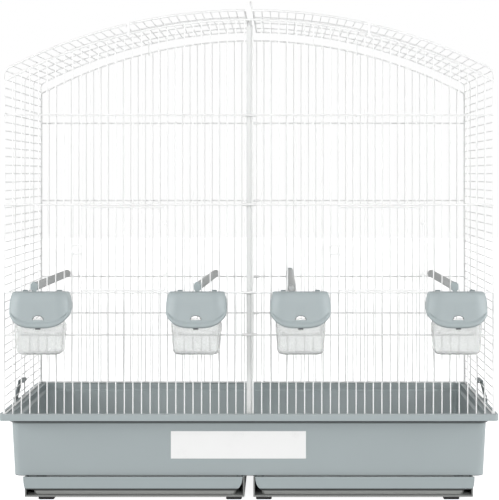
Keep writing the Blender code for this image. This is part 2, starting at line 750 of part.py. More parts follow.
def build_front_panel():
    """Front wire panel with openings for the doors and the feeders."""
    frame, uprights, rails = bmesh.new(), bmesh.new(), bmesh.new()
    rings, welds = bmesh.new(), bmesh.new()
    panel_frame(frame, FRONT_Y)
    panel_uprights(uprights, FRONT_Y, -RAIL_OFFSET, True)
    panel_rails(rails, FRONT_Y, -RAIL_OFFSET)
    hinge_eyes(rings, welds)
    made("front_panel", frame, white_wire(), joins=(uprights, rails, welds, rings), smooth=False)


def build_back_panel():
    """Back wire panel."""
    frame, uprights, rails = bmesh.new(), bmesh.new(), bmesh.new()
    panel_frame(frame, BACK_Y)
    panel_uprights(uprights, BACK_Y, RAIL_OFFSET, False)
    panel_rails(rails, BACK_Y, RAIL_OFFSET)
    made("back_panel", frame, white_wire(), joins=(uprights, rails), smooth=False)


def girth():
    """Points (x, z) of the right half's bent line: up the side, round the corner, over the arch."""
    inner = SIDE_PLANE - CORNER_RADIUS
    centre_z = ARCH_CENTRE_Z + math.sqrt((ARCH_RADIUS - CORNER_RADIUS) ** 2 - inner ** 2)
    lean = math.atan2(centre_z - ARCH_CENTRE_Z, inner)
    points = [(SIDE_PLANE, PANEL_BOTTOM_Z)]
    for i in range(CORNER_STEPS + 1):
        angle = lean * i / CORNER_STEPS
        points.append((inner + CORNER_RADIUS * math.cos(angle),
                       centre_z + CORNER_RADIUS * math.sin(angle)))
    end = math.acos(SLOT_WIRE_X / ARCH_RADIUS)
    for i in range(1, ARCH_STEPS + 1):
        angle = lean + (end - lean) * i / ARCH_STEPS
        points.append((ARCH_RADIUS * math.cos(angle), ARCH_CENTRE_Z + ARCH_RADIUS * math.sin(angle)))
    return points


def along(points, distance):
    """Point on a polyline at a distance from its start, and the direction there."""
    left = distance
    for (x0, z0), (x1, z1) in zip(points, points[1:]):
        length = math.hypot(x1 - x0, z1 - z0)
        if left <= length or (x1, z1) == points[-1]:
            share = min(left / length, 1.0)
            return (x0 + (x1 - x0) * share, z0 + (z1 - z0) * share), (x1 - x0, z1 - z0)
        left -= length


def rung_places(points):
    """Evenly spaced cross wires along the bent line, without its two ends."""
    total = sum(math.dist(a, b) for a, b in zip(points, points[1:]))
    count = round(total / WIRE_PITCH)
    return [along(points, total * i / count) for i in range(1, count)]


def build_side_roof(name, sign):
    """One bent half of the wire body: a side and half of the arched roof in one mesh."""
    points = girth()
    front = FRONT_Y + STILE_INSET
    back = BACK_Y - STILE_INSET
    depth = back - front
    start, rungs, last, longs = bmesh.new(), bmesh.new(), bmesh.new(), bmesh.new()
    side = (0, 1, 0)
    low = (points[0][0], points[0][1] - FRAME_WIRE / 2)
    over = [low] + points[1:-1] + [along(points + [beyond(points)], math.inf)[0]]
    for bm, y in ((start, front), (last, back)):
        bar(bm, [(sign * x, y, z) for x, z in over], side, FRAME_WIRE, FRAME_WIRE)
    ends = [(points[0], (0.0, 1.0)), (points[-1], (1.0, 0.0))]
    for places, size in ((ends, END_BAR), (rung_places(points), WIRE)):
        for (x, z), (dx, dz) in places:
            normal = Vector((sign * dx, 0, dz)).normalized()
            bar(rungs, [(sign * x, front, z), (sign * x, back, z)], normal, size, size)
    shift = RAIL_OFFSET
    line = inward(points, shift)
    for i in range(1, LONG_WIRE_SPACES):
        y = front + depth * i / LONG_WIRE_SPACES
        bar(longs, [(sign * x, y, z) for x, z in line], side, RAIL_DEPTH, RAIL_DEPTH)
    made(name, start, white_wire(), joins=(rungs, last, longs), smooth=False)


def beyond(points):
    """Point half a frame wire past the bent line's end."""
    (x0, z0), (x1, z1) = points[-2:]
    length = math.hypot(x1 - x0, z1 - z0)
    share = FRAME_WIRE / 2 / length
    return x1 + (x1 - x0) * share, z1 + (z1 - z0) * share


def inward(points, distance):
    """The bent line moved towards the inside of the cage by a distance."""
    moved = []
    for i, (x, z) in enumerate(points):
        steps = [points[max(i - 1, 0)], points[i], points[min(i + 1, len(points) - 1)]]
        normals = []
        for (x0, z0), (x1, z1) in zip(steps, steps[1:]):
            length = math.hypot(x1 - x0, z1 - z0)
            if length > 0:
                normals.append(Vector((-(z1 - z0), x1 - x0)) / length)
        middle = sum(normals, Vector((0, 0))).normalized()
        reach = distance / middle.dot(normals[0])
        moved.append((x + middle.x * reach, z + middle.y * reach))
    return moved


def build_roof_hook(name, x, y_of, inside):
    """Hook that holds a panel's arched bar up to the roof's edge wire."""
    half = FRAME_WIRE / 2
    play, wire = ROOF_HOOK_PLAY, ROOF_HOOK_WIRE
    top = arch_z(ARCH_RADIUS, abs(x)) + half + play + wire / 2
    bottom = arch_z(PANEL_ARCH_RADIUS, abs(x)) - half - play - wire / 2
    face = half + GAP + wire / 2
    far = -STILE_INSET - half
    points = [(x, y_of(far), top), (x, y_of(face), top), (x, y_of(face), bottom),
              (x, y_of(inside), bottom)]
    bm = bmesh.new()
    bar(bm, points, (1, 0, 0), ROOF_HOOK_WIDTH, wire)
    made(name, bm, white_wire(), smooth=False)


def build_door(name, shift):
    """Wire door that turns on its right stile."""
    x_right, y = hinge_axis(shift)
    x_left = door_wires(shift)[0]
    low, high = door_limits()
    low_z, high_z = low + DOOR_WIRE / 2, high - DOOR_WIRE / 2
    frame, wires = bmesh.new(), bmesh.new()
    corners = [(x_left, y, low_z), (x_right, y, low_z), (x_right, y, high_z), (x_left, y, high_z)]
    bar(frame, corners, (0, 1, 0), DOOR_WIRE, DOOR_WIRE, closed=True)
    for i in range(1, DOOR_SPACES):
        x = x_left + i * WIRE_PITCH
        bar(wires, [(x, y, low_z), (x, y, high_z)], (0, 1, 0), WIRE, WIRE)
    made(name, frame, white_wire(), joins=(wires,), origin=(x_right, y, low), smooth=False)


def build_latch(name, shift):
    """Wire loop on the door's free stile, which swings over the next fixed wire."""
    _, y = hinge_axis(shift)
    x = door_wires(shift)[0]
    middle = (EYE_INNER + EYE_OUTER) / 2
    near, far = x - middle, x - LATCH_REACH
    loop, eyes = bmesh.new(), bmesh.new()
    bar(loop, [(near, y, LATCH_LOW_Z), (far, y, LATCH_LOW_Z), (far, y, LATCH_HIGH_Z),
               (near, y, LATCH_HIGH_Z)], (0, 1, 0), LATCH_WIRE, LATCH_WIRE)
    half = EYE_HEIGHT / 2
    for z in (LATCH_LOW_Z, LATCH_HIGH_Z):
        ring_z(eyes, x, y, z - half, z + half, EYE_INNER, EYE_OUTER)
    made(name, loop, white_wire(), joins=(eyes,), origin=(x, y, LATCH_LOW_Z), smooth=False)


def hood_outline(inset, rear, flare=0.0):
    """Half-open line round a hood seen from above: (x, reach in front of the wires).

    A flare sets the front in further, and fades out towards the sides.
    """
    radius = HOOD_FRONT_RADIUS
    points = []
    for turn, across in hood_turns():
        own = inset + flare * hood_fade((HOOD_HALF_WIDTH - radius) * across + radius * math.sin(turn))
        x = (HOOD_HALF_WIDTH - own - radius) * across + radius * math.sin(turn)
        points.append((x, HOOD_REACH - own - radius + radius * math.cos(turn)))
    half = HOOD_HALF_WIDTH - inset
    return [(-half, rear)] + points + [(half, rear)]


def hood_turns():
    """Turn and share of the width for each point along a hood's rounded front."""
    turns = [math.pi / 2 * i / HOOD_ARC_STEPS for i in range(HOOD_ARC_STEPS + 1)]
    flat = [2 * i / HOOD_FRONT_STEPS - 1 for i in range(1, HOOD_FRONT_STEPS)]
    left = [(-turn, -1.0) for turn in reversed(turns)]
    return left + [(0.0, share) for share in flat] + [(turn, 1.0) for turn in turns]


def hood_fade(x):
    """1 in the middle of a hood and 0 at its sides."""
    return 1 - (abs(x) / HOOD_HALF_WIDTH) ** HOOD_EDGE_POWER


def hood_low_z(x):
    """Height of the hood's lower edge, which drops towards the middle."""
    front, side = PERCH_RAIL_Z - HOOD_FRONT_DROP, PERCH_RAIL_Z - HOOD_SIDE_DROP
    return side + (front - side) * hood_fade(x)


def hood_shell(centre):
    """Hood shell, open behind and below, with a wall of even thickness."""
    top = PERCH_RAIL_Z + HOOD_TOP_RISE
    side = PERCH_RAIL_Z - HOOD_SIDE_DROP + HOOD_LIP_HEIGHT + HOOD_LIP_SLOPE
    rows = [
        (HOOD_LOW_INSET, HOOD_REAR, 0.0, 0.0, None),
        (0.0, HOOD_REAR, 0.0, HOOD_LIP_HEIGHT, None),
        (0.0, HOOD_REAR, HOOD_FLARE, HOOD_LIP_HEIGHT + HOOD_LIP_SLOPE, None),
    ]
    for height, inset in HOOD_CROWN_SHARES:
        rows.append((HOOD_TOP_INSET * inset, HOOD_REAR + HOOD_TOP_REAR * inset, HOOD_FLARE,
                     0.0, side + (top - side) * height))
    rows.append((HOOD_TOP_INSET, HOOD_REAR + HOOD_TOP_REAR, HOOD_FLARE, 0.0, top))
    bm = bmesh.new()
    lines = []
    for inset, rear, flare, rise, z in rows:
        lines.append([bm.verts.new((centre + x, front_out(reach),
                                    hood_low_z(x) + rise if z is None else z))
                      for x, reach in hood_outline(inset, rear, flare)])
    for low, high in zip(lines, lines[1:]):
        for i in range(len(low) - 1):
            bm.faces.new((low[i], low[i + 1], high[i + 1], high[i]))
    bm.faces.new(lines[-1])
    bmesh.ops.recalc_face_normals(bm, faces=bm.faces)
    bmesh.ops.solidify(bm, geom=bm.faces[:], thickness=HOOD_WALL)
    return bm


def hood_lug(rings, arms, x):
    """Open hook over the rail, with an arm to the hood's top."""
    z0, y0 = PERCH_RAIL_Z, front_out(RAIL_OFFSET)
    start, end = math.radians(-LUG_FRONT_DEGREES), math.radians(LUG_BACK_DEGREES)
    profile = []
    for radius, order in ((LUG_OUTER, range(LUG_STEPS + 1)), (LUG_INNER, range(LUG_STEPS, -1, -1))):
        for i in order:
            angle = start + (end - start) * i / LUG_STEPS
            profile.append((y0 - radius * math.cos(angle), z0 + radius * math.sin(angle)))
    half = LUG_WIDTH / 2
    loft(rings, [[(x + s * half, y, z) for y, z in profile] for s in (-1, 1)])
    inner = y0 - (LUG_INNER + LUG_OUTER) / 2
    low = PERCH_RAIL_Z + HOOD_TOP_RISE - HOOD_WALL / 2 - LUG_ARM_HEIGHT
    block(arms, (x - LUG_ARM_WIDTH / 2, inner - LUG_ARM_LENGTH, low),
          (x + LUG_ARM_WIDTH / 2, inner, low + LUG_ARM_HEIGHT))


def build_hood(name, centre):
    """Hood with two lugs that hang on the rail, a half-moon window and a catch below."""
    shell = hood_shell(centre)
    rings, arms, catch, window = bmesh.new(), bmesh.new(), bmesh.new(), bmesh.new()
    for sign in (-1, 1):
        hood_lug(rings, arms, centre + sign * LUG_OFFSET_X)
    catch_top = PERCH_RAIL_Z - HOOD_FRONT_DROP + HOOD_WALL
    face = front_out(HOOD_REACH - HOOD_LOW_INSET - (HOOD_WALL - CATCH_THICKNESS) / 2)
    block(catch, (centre - CATCH_WIDTH / 2, face, catch_top - CATCH_HEIGHT),
          (centre + CATCH_WIDTH / 2, face + CATCH_THICKNESS, catch_top))
    sill = PERCH_RAIL_Z - WINDOW_DROP
    arc = [(centre + WINDOW_HALF_WIDTH * math.cos(math.pi * i / WINDOW_STEPS),
            sill + WINDOW_HEIGHT * math.sin(math.pi * i / WINDOW_STEPS))
           for i in range(WINDOW_STEPS + 1)]
    loft(window, [[(x, front_out(reach), z) for x, z in arc]
                  for reach in (HOOD_REACH + HOOD_WALL, HOOD_REACH - HOOD_FRONT_RADIUS)])
    made(name, shell, hood_plastic(), joins=(arms, rings, catch), cuts=(window,),
         origin=(centre, front_out(RAIL_OFFSET), PERCH_RAIL_Z))


def cup_outline(inset):
    """Closed line round a cup seen from above: (x, reach in front of the wires)."""
    half = CUP_HALF_WIDTH - inset
    rear = HOOD_REAR + inset
    front = CUP_FRONT - inset
    radius = CUP_FRONT_RADIUS - min(inset, CUP_EDGE)
    chamfer = CUP_REAR_CHAMFER
    left = [(-half + chamfer, rear), (-half, rear + chamfer)]
    for i in range(CUP_ARC_STEPS + 1):
        angle = math.pi / 2 * i / CUP_ARC_STEPS
        left.append((-half + radius - radius * math.cos(angle),
                     front - radius + radius * math.sin(angle)))
    return left + [(-x, reach) for x, reach in reversed(left)]


def cup_loop(centre, inset, z):
    """One loop of the cup; with no height given it lies on the sloping rim."""
    loop = []
    for x, reach in cup_outline(inset):
        share = (reach - HOOD_REAR) / (CUP_FRONT - HOOD_REAR)
        rim = CUP_REAR_Z + (CUP_FRONT_Z - CUP_REAR_Z) * share
        loop.append((centre + x, front_out(reach), rim if z is None else z))
    return loop


def build_cup(name, centre):
    """Seed cup that hangs on the lower rail by two hooks."""
    step, wall, edge = CUP_STEP, CUP_WALL, CUP_EDGE
    low = step + CUP_TAPER
    loops = [
        cup_loop(centre, low + edge, CUP_BOTTOM_Z),
        cup_loop(centre, low + edge / 4, CUP_BOTTOM_Z + edge / 3),
        cup_loop(centre, low, CUP_BOTTOM_Z + edge),
        cup_loop(centre, step, CUP_STEP_Z),
        cup_loop(centre, 0.0, CUP_STEP_Z + step),
        cup_loop(centre, 0.0, None),
        cup_loop(centre, wall, None),
        cup_loop(centre, step + wall, CUP_STEP_Z),
        cup_loop(centre, low + wall, CUP_BOTTOM_Z + edge + wall),
        cup_loop(centre, low + edge + wall, CUP_BOTTOM_Z + wall),
    ]
    bm = bmesh.new()
    loft(bm, loops)
    hooks = bmesh.new()
    z = FEEDER_RAIL_Z + RAIL_HEIGHT / 2 + CUP_HOOK_RISE + CUP_HOOK_WIRE / 2
    back = front_out(RAIL_OFFSET - RAIL_DEPTH / 2 - CUP_HOOK_BACK - CUP_HOOK_WIRE / 2)
    for sign in (-1, 1):
        x = centre + sign * LUG_OFFSET_X
        bar(hooks, [(x, front_out(HOOD_REAR + CUP_STEP + CUP_WALL), z), (x, back, z),
                    (x, back, z - CUP_HOOK_RISE - CUP_HOOK_DROP)], (1, 0, 0),
            CUP_HOOK_WIDTH, CUP_HOOK_WIRE)
    made(name, bm, clear_plastic(), joins=(hooks,), origin=(centre, front_out(HOOD_REAR), z))


def perch_line(index):
    """Front and back end of a perch's centre line, on the wire planes."""
    clip_z = PERCH_REST_Z + PERCH_CLIP_HEIGHT / 2
    neck_z = PERCH_REST_Z + PERCH_NECK_RADIUS
    front_z, back_z = clip_z, neck_z
    if index == TURNED_PERCH_INDEX:
        front_z, back_z = neck_z, clip_z
    front = Vector((wire_x(PERCH_FRONT_PITCH_SHARES[index]), FRONT_Y, front_z))
    back = Vector((wire_x(PERCH_BACK_PITCH_SHARES[index]), BACK_Y, back_z))
    return front, back


def build_perch(index):
    """Round perch with a neck at one end and a separate clip at the other."""
    front, back = perch_line(index)
    turned = index == TURNED_PERCH_INDEX
    clip_end, neck_end = (back, front) if turned else (front, back)
    run = neck_end - clip_end
    way = run / abs(run.y)
    start = clip_end + way * (PERCH_CLIP_IN + GAP)
    shoulder = neck_end - way * PERCH_NECK_IN
    tip = neck_end + way * PERCH_NECK_OUT
    bm = bmesh.new()
    loops = []
    for point, radius in ((start, PERCH_RADIUS), (shoulder, PERCH_RADIUS),
                          (shoulder, PERCH_NECK_RADIUS), (tip, PERCH_NECK_RADIUS)):
        loops.append([point + Vector((u, 0, v)) for u, v in circle(radius, PERCH_SIDES)])
    loft(bm, loops)
    made("perch_%d" % (index + 1), bm, perch_plastic())
    build_perch_clip(index, clip_end, way)


def build_perch_clip(index, end, way):
    """Clip on a perch's end, which lies between two wires and rests on the rail."""
    half_x, half_z = PERCH_CLIP_WIDTH / 2, PERCH_CLIP_HEIGHT / 2
    outline = rounded_rectangle(half_x, half_z, PERCH_CLIP_CHAMFER, 1)
    bm = bmesh.new()
    loft(bm, [[end + way * distance + Vector((u, 0, v)) for u, v in outline]
              for distance in (-PERCH_CLIP_OUT, PERCH_CLIP_IN)])
    made("perch_clip_%d" % (index + 1), bm, hood_plastic())


def build_divider():
    """Opaque sheet between the compartments, which slides up through the slot in the roof."""
    half = DIVIDER_THICKNESS / 2
    low = TUB_BOTTOM_Z + FLOOR_THICKNESS + DIVIDER_FLOOR_GAP
    high, cut = DIVIDER_TOP_Z, DIVIDER_TOP_CHAMFER
    y0, y1 = FRONT_Y + divider_inset(), BACK_Y - divider_inset()
    waist = RIM_TOP_Z + DIVIDER_FLOOR_GAP
    narrow = WALL_INSET_FRONT + WALL_TAPER_FRONT + TUB_WALL + GAP
    outline = [(FRONT_Y + narrow, low), (BACK_Y - narrow, low), (BACK_Y - narrow, waist),
               (y1, waist), (y1, high - cut), (y1 - cut, high), (y0 + cut, high),
               (y0, high - cut), (y0, waist), (FRONT_Y + narrow, waist)]
    bm = bmesh.new()
    loft(bm, [[(x, y, z) for y, z in outline] for x in (-half, half)])
    made("divider", bm, white_plastic(), origin=(0, CAGE_Y, low), smooth=False)


def divider_inset():
    """Distance from a wire plane to the divider's edge, inside the guide's plate."""
    return WIRE / 2 + GAP + GUIDE_PLATE + GUIDE_SLOT_GAP


def build_handle():
    """Loop handle seated on the divider's top edge."""
    half = HANDLE_LENGTH / 2
    wire = HANDLE_WIRE
    foot = DIVIDER_TOP_Z + HANDLE_FOOT_GAP
    top = HANDLE_TOP_Z - wire / 2
    corner = HANDLE_CORNER
    bm = bmesh.new()
    points = [(0, CAGE_Y - half, foot), (0, CAGE_Y - half, top - corner),
              (0, CAGE_Y - half + corner, top), (0, CAGE_Y + half - corner, top),
              (0, CAGE_Y + half, top - corner), (0, CAGE_Y + half, foot)]
    bar(bm, points, (1, 0, 0), wire, wire)
    feet = bmesh.new()
    for sign in (-1, 1):
        y = CAGE_Y + sign * half
        block(feet, (-HANDLE_FOOT_WIDTH / 2, y - HANDLE_FOOT_LENGTH / 2, foot),
              (HANDLE_FOOT_WIDTH / 2, y + HANDLE_FOOT_LENGTH / 2, foot + wire / 2))
    made("divider_handle", bm, white_wire(), joins=(feet,), smooth=False)


def build_guide(name, y_of, z):
    """Guide behind a rail, whose slot holds one edge of the divider."""
    half, prong = GUIDE_WIDTH / 2, DIVIDER_THICKNESS / 2 + GUIDE_SLOT_GAP
    near = -(WIRE / 2 + GAP)
    plate = near - GUIDE_PLATE
    tip = plate - GUIDE_PRONG_LENGTH
    outline = [(-half, near), (half, near), (half, plate), (prong + GUIDE_PRONG, plate),
               (prong + GUIDE_PRONG, tip), (prong, tip), (prong, plate), (-prong, plate),
               (-prong, tip), (-prong - GUIDE_PRONG, tip), (-prong - GUIDE_PRONG, plate),
               (-half, plate)]
    bm = bmesh.new()
    loft(bm, [[(x, y_of(out), level) for x, out in outline]
              for level in (z - GUIDE_HEIGHT / 2, z + GUIDE_HEIGHT / 2)])
    made(name, bm, white_wire(), smooth=False)


def build_side_clip(name, sign):
    """Lever on the rim that swings up and hooks in over a cross wire of the side."""
    rungs = rung_places(girth())
    rung_z = rungs[CLIP_HOOK_RUNG - 1][0][1]
    hook_z = rung_z + CLIP_HOOK_RISE
    lip_x = SIDE_PLANE - WIRE / 2 - CLIP_LIP_BEHIND - CLIP_PLATE / 2
    lip_z = rung_z + WIRE / 2 + CLIP_LIP_GAP
    x = CLIP_PIN_X + CLIP_BARREL - CLIP_PLATE / 2 - GAP
    barrel_mid = (CLIP_BARREL + CLIP_PIN_RADIUS) / 2
    bm, barrel = bmesh.new(), bmesh.new()
    points = [(x, CLIP_PIN_Z + barrel_mid), (x, hook_z - CLIP_PLATE), (x - CLIP_PLATE, hook_z),
              (lip_x, hook_z), (lip_x, lip_z)]
    bar(bm, [(sign * px, CLIP_Y, pz) for px, pz in points], (0, 1, 0),
        CLIP_WIDTH - 2 * GAP, CLIP_PLATE)
    half = CLIP_WIDTH / 2
    ring_y(barrel, sign * CLIP_PIN_X, CLIP_PIN_Z, CLIP_Y - half, CLIP_Y + half,
           CLIP_PIN_RADIUS + GAP, CLIP_BARREL)
    made(name, bm, tub_plastic(), joins=(barrel,), origin=(sign * CLIP_PIN_X, CLIP_Y, CLIP_PIN_Z))


def build_clip_pin(name, sign):
    """Pin through the ears and a side clip's barrel."""
    reach = CLIP_WIDTH / 2 + EAR_THICKNESS
    bm = bmesh.new()
    rod_y(bm, sign * CLIP_PIN_X, CLIP_PIN_Z, CLIP_Y - reach, CLIP_Y + reach, CLIP_PIN_RADIUS,
          ROUND_SIDES)
    made(name, bm, pin_steel())


def build_pairs():
    """Everything that comes once on the left and once on the right."""
    for name, sign in (("left", -1), ("right", 1)):
        build_housing(name + "_drawer_housing", sign)
        build_drawer(name + "_drawer", sign)
        build_side_roof(name + "_side_roof_mesh", sign)
        build_door(name + "_door", sign)
        build_latch(name + "_door_latch", sign)
        build_side_clip(name + "_side_clip", sign)
        build_clip_pin(name + "_clip_pin", sign)
        inside = -FRAME_WIRE / 2
        hook_x = wire_x(sign * ROOF_HOOK_SPACE)
        build_roof_hook("front_%s_roof_hook" % name, hook_x, front_out, inside)
        build_roof_hook("back_%s_roof_hook" % name, hook_x, back_out, inside)


def main():
    clear_scene()
    build_tub()
    build_feet()
    build_label()
    build_front_panel()
    build_back_panel()
    build_pairs()
    for index, centre in enumerate(FEEDER_XS):
        build_hood("feeder_hood_%d" % (index + 1), centre)
        build_cup("feeder_cup_%d" % (index + 1), centre)
        build_perch(index)
    build_divider()
    build_handle()
    for index, z in enumerate(RAIL_ZS):
        build_guide("front_divider_guide_%d" % (index + 1), front_out, z)
        build_guide("back_divider_guide_%d" % (index + 1), back_out, z)


main()
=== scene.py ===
"""Looks of a two-compartment wire bird cage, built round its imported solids.

The frame gives the places, and every piece rides on one of its bodies.
Units are metres, +Z is up and the front faces -Y.
"""
import json
import math

import bmesh
import bpy
from mathutils import Matrix, Vector


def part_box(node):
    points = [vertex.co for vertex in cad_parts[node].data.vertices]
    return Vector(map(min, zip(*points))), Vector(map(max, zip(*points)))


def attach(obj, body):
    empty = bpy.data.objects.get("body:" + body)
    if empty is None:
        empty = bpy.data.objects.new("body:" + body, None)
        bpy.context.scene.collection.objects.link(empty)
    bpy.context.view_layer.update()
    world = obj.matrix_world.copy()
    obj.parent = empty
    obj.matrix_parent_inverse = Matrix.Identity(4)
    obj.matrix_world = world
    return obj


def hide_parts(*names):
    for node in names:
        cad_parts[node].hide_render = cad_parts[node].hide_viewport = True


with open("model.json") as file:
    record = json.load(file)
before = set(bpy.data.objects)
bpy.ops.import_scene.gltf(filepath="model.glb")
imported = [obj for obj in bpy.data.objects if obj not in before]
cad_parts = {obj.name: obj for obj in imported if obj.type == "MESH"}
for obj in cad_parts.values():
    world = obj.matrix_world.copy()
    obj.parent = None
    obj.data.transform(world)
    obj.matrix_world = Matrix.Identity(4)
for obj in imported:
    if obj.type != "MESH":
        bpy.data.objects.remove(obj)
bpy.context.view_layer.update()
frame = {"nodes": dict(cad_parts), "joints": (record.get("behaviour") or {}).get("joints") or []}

# Wire sizes
WIRE_PITCH = 0.012
FRONT_SPACES = 57
WIRE_RADIUS = 0.00078
FRAME_RADIUS = 0.0015
BACK_FRAME_RADIUS = 0.0011
END_BAR_RADIUS = 0.0014
RAIL_RADIUS = 0.00115
LONG_RADIUS = 0.0009
DOOR_FRAME_RADIUS = 0.00115
LATCH_RADIUS = 0.0009
WIRE_SIDES = 8
FRAME_SIDES = 12
WIRE_END = 0.0012

# Shape of the wire body
ARCH_RISE = 0.084
ARCH_STEP_DOWN = 0.0137
SHOULDER_RADIUS = 0.012
SHOULDER_STEPS = 8
ARCH_STEPS = 48
LONG_WIRE_SPACES = 4
STILE_INSET = 0.0033
SLOT_WIRE_X = 0.006
FRAME_CORNER = 0.004

# Doors and latches
DOOR_SPACES = 10
DOOR_CORNER = 0.0022
EYE_WIRE = 0.0006
EYE_REACH = 0.0026
EYE_TURNS = (-1, 0, 1)
EYE_TURN_PITCH = 0.0011
EYE_SIDES = 6
EYE_STEPS = 16
EYE_LEAD_DEGREES = 30
EYE_INSET_Z = 0.024
LATCH_REACH = 0.014
LATCH_CORNER = 0.003

# Feeder hoods; a row of the lip is its inset, its share of the flare and its rise
FEEDER_SPACES = 5
HOOD_HALF_WIDTH = 0.0417
HOOD_REACH = 0.047
HOOD_REAR = 0.0034
HOOD_WALL = 0.0018
HOOD_FRONT_RADIUS = 0.018
HOOD_TOP_RISE = 0.0030
HOOD_SIDE_DROP = 0.029
HOOD_FRONT_DROP = 0.0455
HOOD_BACK_RISE = 0.005
HOOD_EDGE_POWER = 3.4
HOOD_FLARE_POWER = 12
HOOD_FLARE = 0.0028
HOOD_LIP_ROWS = ((0.0013, 0.0, 0.0), (0.0006, 0.0, 0.0007), (0.0002, 0.0, 0.0017),
                 (0.0, 0.0, 0.0030), (0.0, 0.0, 0.0045), (0.0, 0.15, 0.0057),
                 (0.0, 0.5, 0.0070), (0.0, 0.85, 0.0083), (0.0, 1.0, 0.0100))
HOOD_LIP_STRIP = 0.0016
HOOD_CROWN_FALL = 0.016
HOOD_CROWN_LEVELS = (0.12, 0.28, 0.44, 0.6, 0.74, 0.86, 0.94, 0.98, 1.0)
HOOD_CROWN_LEAN = 0.35
HOOD_TOP_INSET = 0.0048
HOOD_CORNER_FALL = 0.0016
HOOD_CORNER_POWER = 8
HOOD_TOP_REAR = 0.0046
HOOD_COLUMNS = 72
WINDOW_HALF_WIDTH = 0.0075
WINDOW_HEIGHT = 0.006
WINDOW_DROP = 0.0345
WINDOW_STEPS = 20
# Thin dark wire over the window's arch, painted shade of the window's edge
WINDOW_SHADE_LINE = 0.00035
WINDOW_SHADE_LINE_SIDES = 6
LUG_OFFSET_X = 0.024
LUG_WIDTH = 0.007
LUG_INNER = 0.00205
LUG_OUTER = 0.0042
LUG_FRONT_DEGREES = 20
LUG_BACK_DEGREES = 200
LUG_STEPS = 18
LUG_ARM_WIDTH = 0.005
LUG_ARM_HEIGHT = 0.0026
LUG_ARM_LENGTH = 0.008
CATCH_WIDTH = 0.007
CATCH_HEIGHT = 0.0036
CATCH_THICKNESS = 0.0016
CATCH_BITE = 0.0003

# Feeder cups
CUP_BOTTOM_Z = 0.2079
CUP_FRONT_Z = 0.2589
CUP_REAR_Z = 0.2469
CUP_STEP_Z = 0.2374
CUP_STEP = 0.0008
CUP_HALF_WIDTH = 0.0346
CUP_FRONT = 0.043
CUP_WALL = 0.0016
CUP_TAPER = 0.0012
CUP_BOTTOM_RADIUS = 0.0075
CUP_FRONT_RADIUS = 0.015
CUP_REAR_RADIUS = 0.003
CUP_ROUND_STEPS = 6
CUP_HOOK_WIDTH = 0.006
CUP_HOOK_THICKNESS = 0.0016
CUP_HOOK_RISE = 0.0026
CUP_HOOK_DROP = 0.0045
CUP_HOOK_BACK = 0.0026
CUP_HOOK_CORNER = 0.001
CUP_RIDGE_WIDTH = 0.038
CUP_RIDGE_DEPTH = 0.0012
CUP_RIDGE_HEIGHT = 0.0014

# Perches: their ends in wire spaces from the middle; the turned one has its clip at the back
PERCH_FRONT_SPACES = (-25, -6, 5, 24)
PERCH_BACK_SPACES = (-25, -5, 5, 24)
TURNED_PERCH = 2
PERCH_RADIUS = 0.006
PERCH_NECK_RADIUS = 0.004
PERCH_NECK_IN = 0.007
PERCH_NECK_OUT = 0.0027
PERCH_CLIP_IN = 0.0123
PERCH_ROUNDING = 0.0008
PERCH_SIDES = 28

# Divider handle
HANDLE_LENGTH = 0.085
HANDLE_RADIUS = 0.0018
HANDLE_CORNER = 0.012
HANDLE_FOOT_LENGTH = 0.010
HANDLE_FOOT_HEIGHT = 0.0018

# Divider edging
EDGING_HALF_WIDTH = 0.0034
EDGING_DEPTH = 0.002
EDGING_GAP = 0.0008
EDGING_TOP_DROP = 0.011

# Drawers
DRAWER_PLATE = 0.0022
DRAWER_PLATE_EDGE = 0.0004
DRAWER_SAG = 0.0005
DRAWER_TOP_STRIP = 0.003
DRAWER_PLATE_RISE = 0.0005
HOUSING_FLOOR = 0.002
DRAWER_PLATE_HEIGHT = 0.0180
FACING_UP = 0.5

# Tub
RIM_HEIGHT = 0.0797
RIM_TOP_Z = 0.1225
TUB_SIDE_EASE = 0.0008
TUB_SIDE_FROM = 0.3
TUB_SIDE_TO = 0.342
TUB_BACK_DROP = 0.0018
TUB_BACK_FROM = 0.01

# Side clips
CLIP_WIDTH = 0.0314
CLIP_PLATE = 0.002
CLIP_BARREL = 0.0024
CLIP_BARREL_SIDES = 24
CLIP_BEND = 0.0015
CLIP_TOP_OUT = 0.0022
CLIP_HEAD = 0.0035
CLIP_LIP = 0.0036
CLIP_TIP_IN = 0.0018

# Meshes and rounded edges
EDGE_TUB = 0.0006
EDGE_FINE = 0.0003
EDGE_HOOD = 0.0004
EDGE_SEGMENTS = 2
CREASE_DEGREES = 38
FLAT_DEGREES = 1
MERGE_DISTANCE = 0.00001
MERGE_SHARE = 0.05
LONGEST_BEND = 0.49

# Finishes
WHITE = (1.0, 1.0, 1.0, 1.0)
NOISE_MIDDLE = 0.5
PATCH_DETAIL = 3.0
GRAIN_DETAIL = 2.0
GRAIN_SHARE = 0.5
GRAIN_STRENGTH = 0.6
RUB_DETAIL = 4.0
RUB_RANGE = (0.58, 0.72)
RUB_SCALES = (40.0, 900.0)
# Share of a seam's reach that the painted seam shade darkens fully
SEAM_SHADE_FULL = 0.5
CUP_TRANSMISSION = 0.76
CUP_IOR = 1.15
FLOW_SCALES = (330.0, 330.0, 9.0)
FLOW_DETAIL = 2.0
FLOW_STRENGTH = 0.8
FLOW_DEPTH = 0.0006

# Camera and room
CAMERA_PLACE = (0.0422, -2.336, 0.4552)
CAMERA_LENS = 112.4
CAMERA_SENSOR = 36.0
CAMERA_SHIFT = (-0.059, -0.15)
CAMERA_CLIP_END = 60.0
ROOM_LEVEL = 0.24
FLOOR_COLOUR = (0.70, 0.70, 0.70, 1.0)
FLOOR_ROUGHNESS = 0.8
FLOOR_LIFT = 0.90
FLOOR_RADIUS = 9.0
FLOOR_SIDES = 96

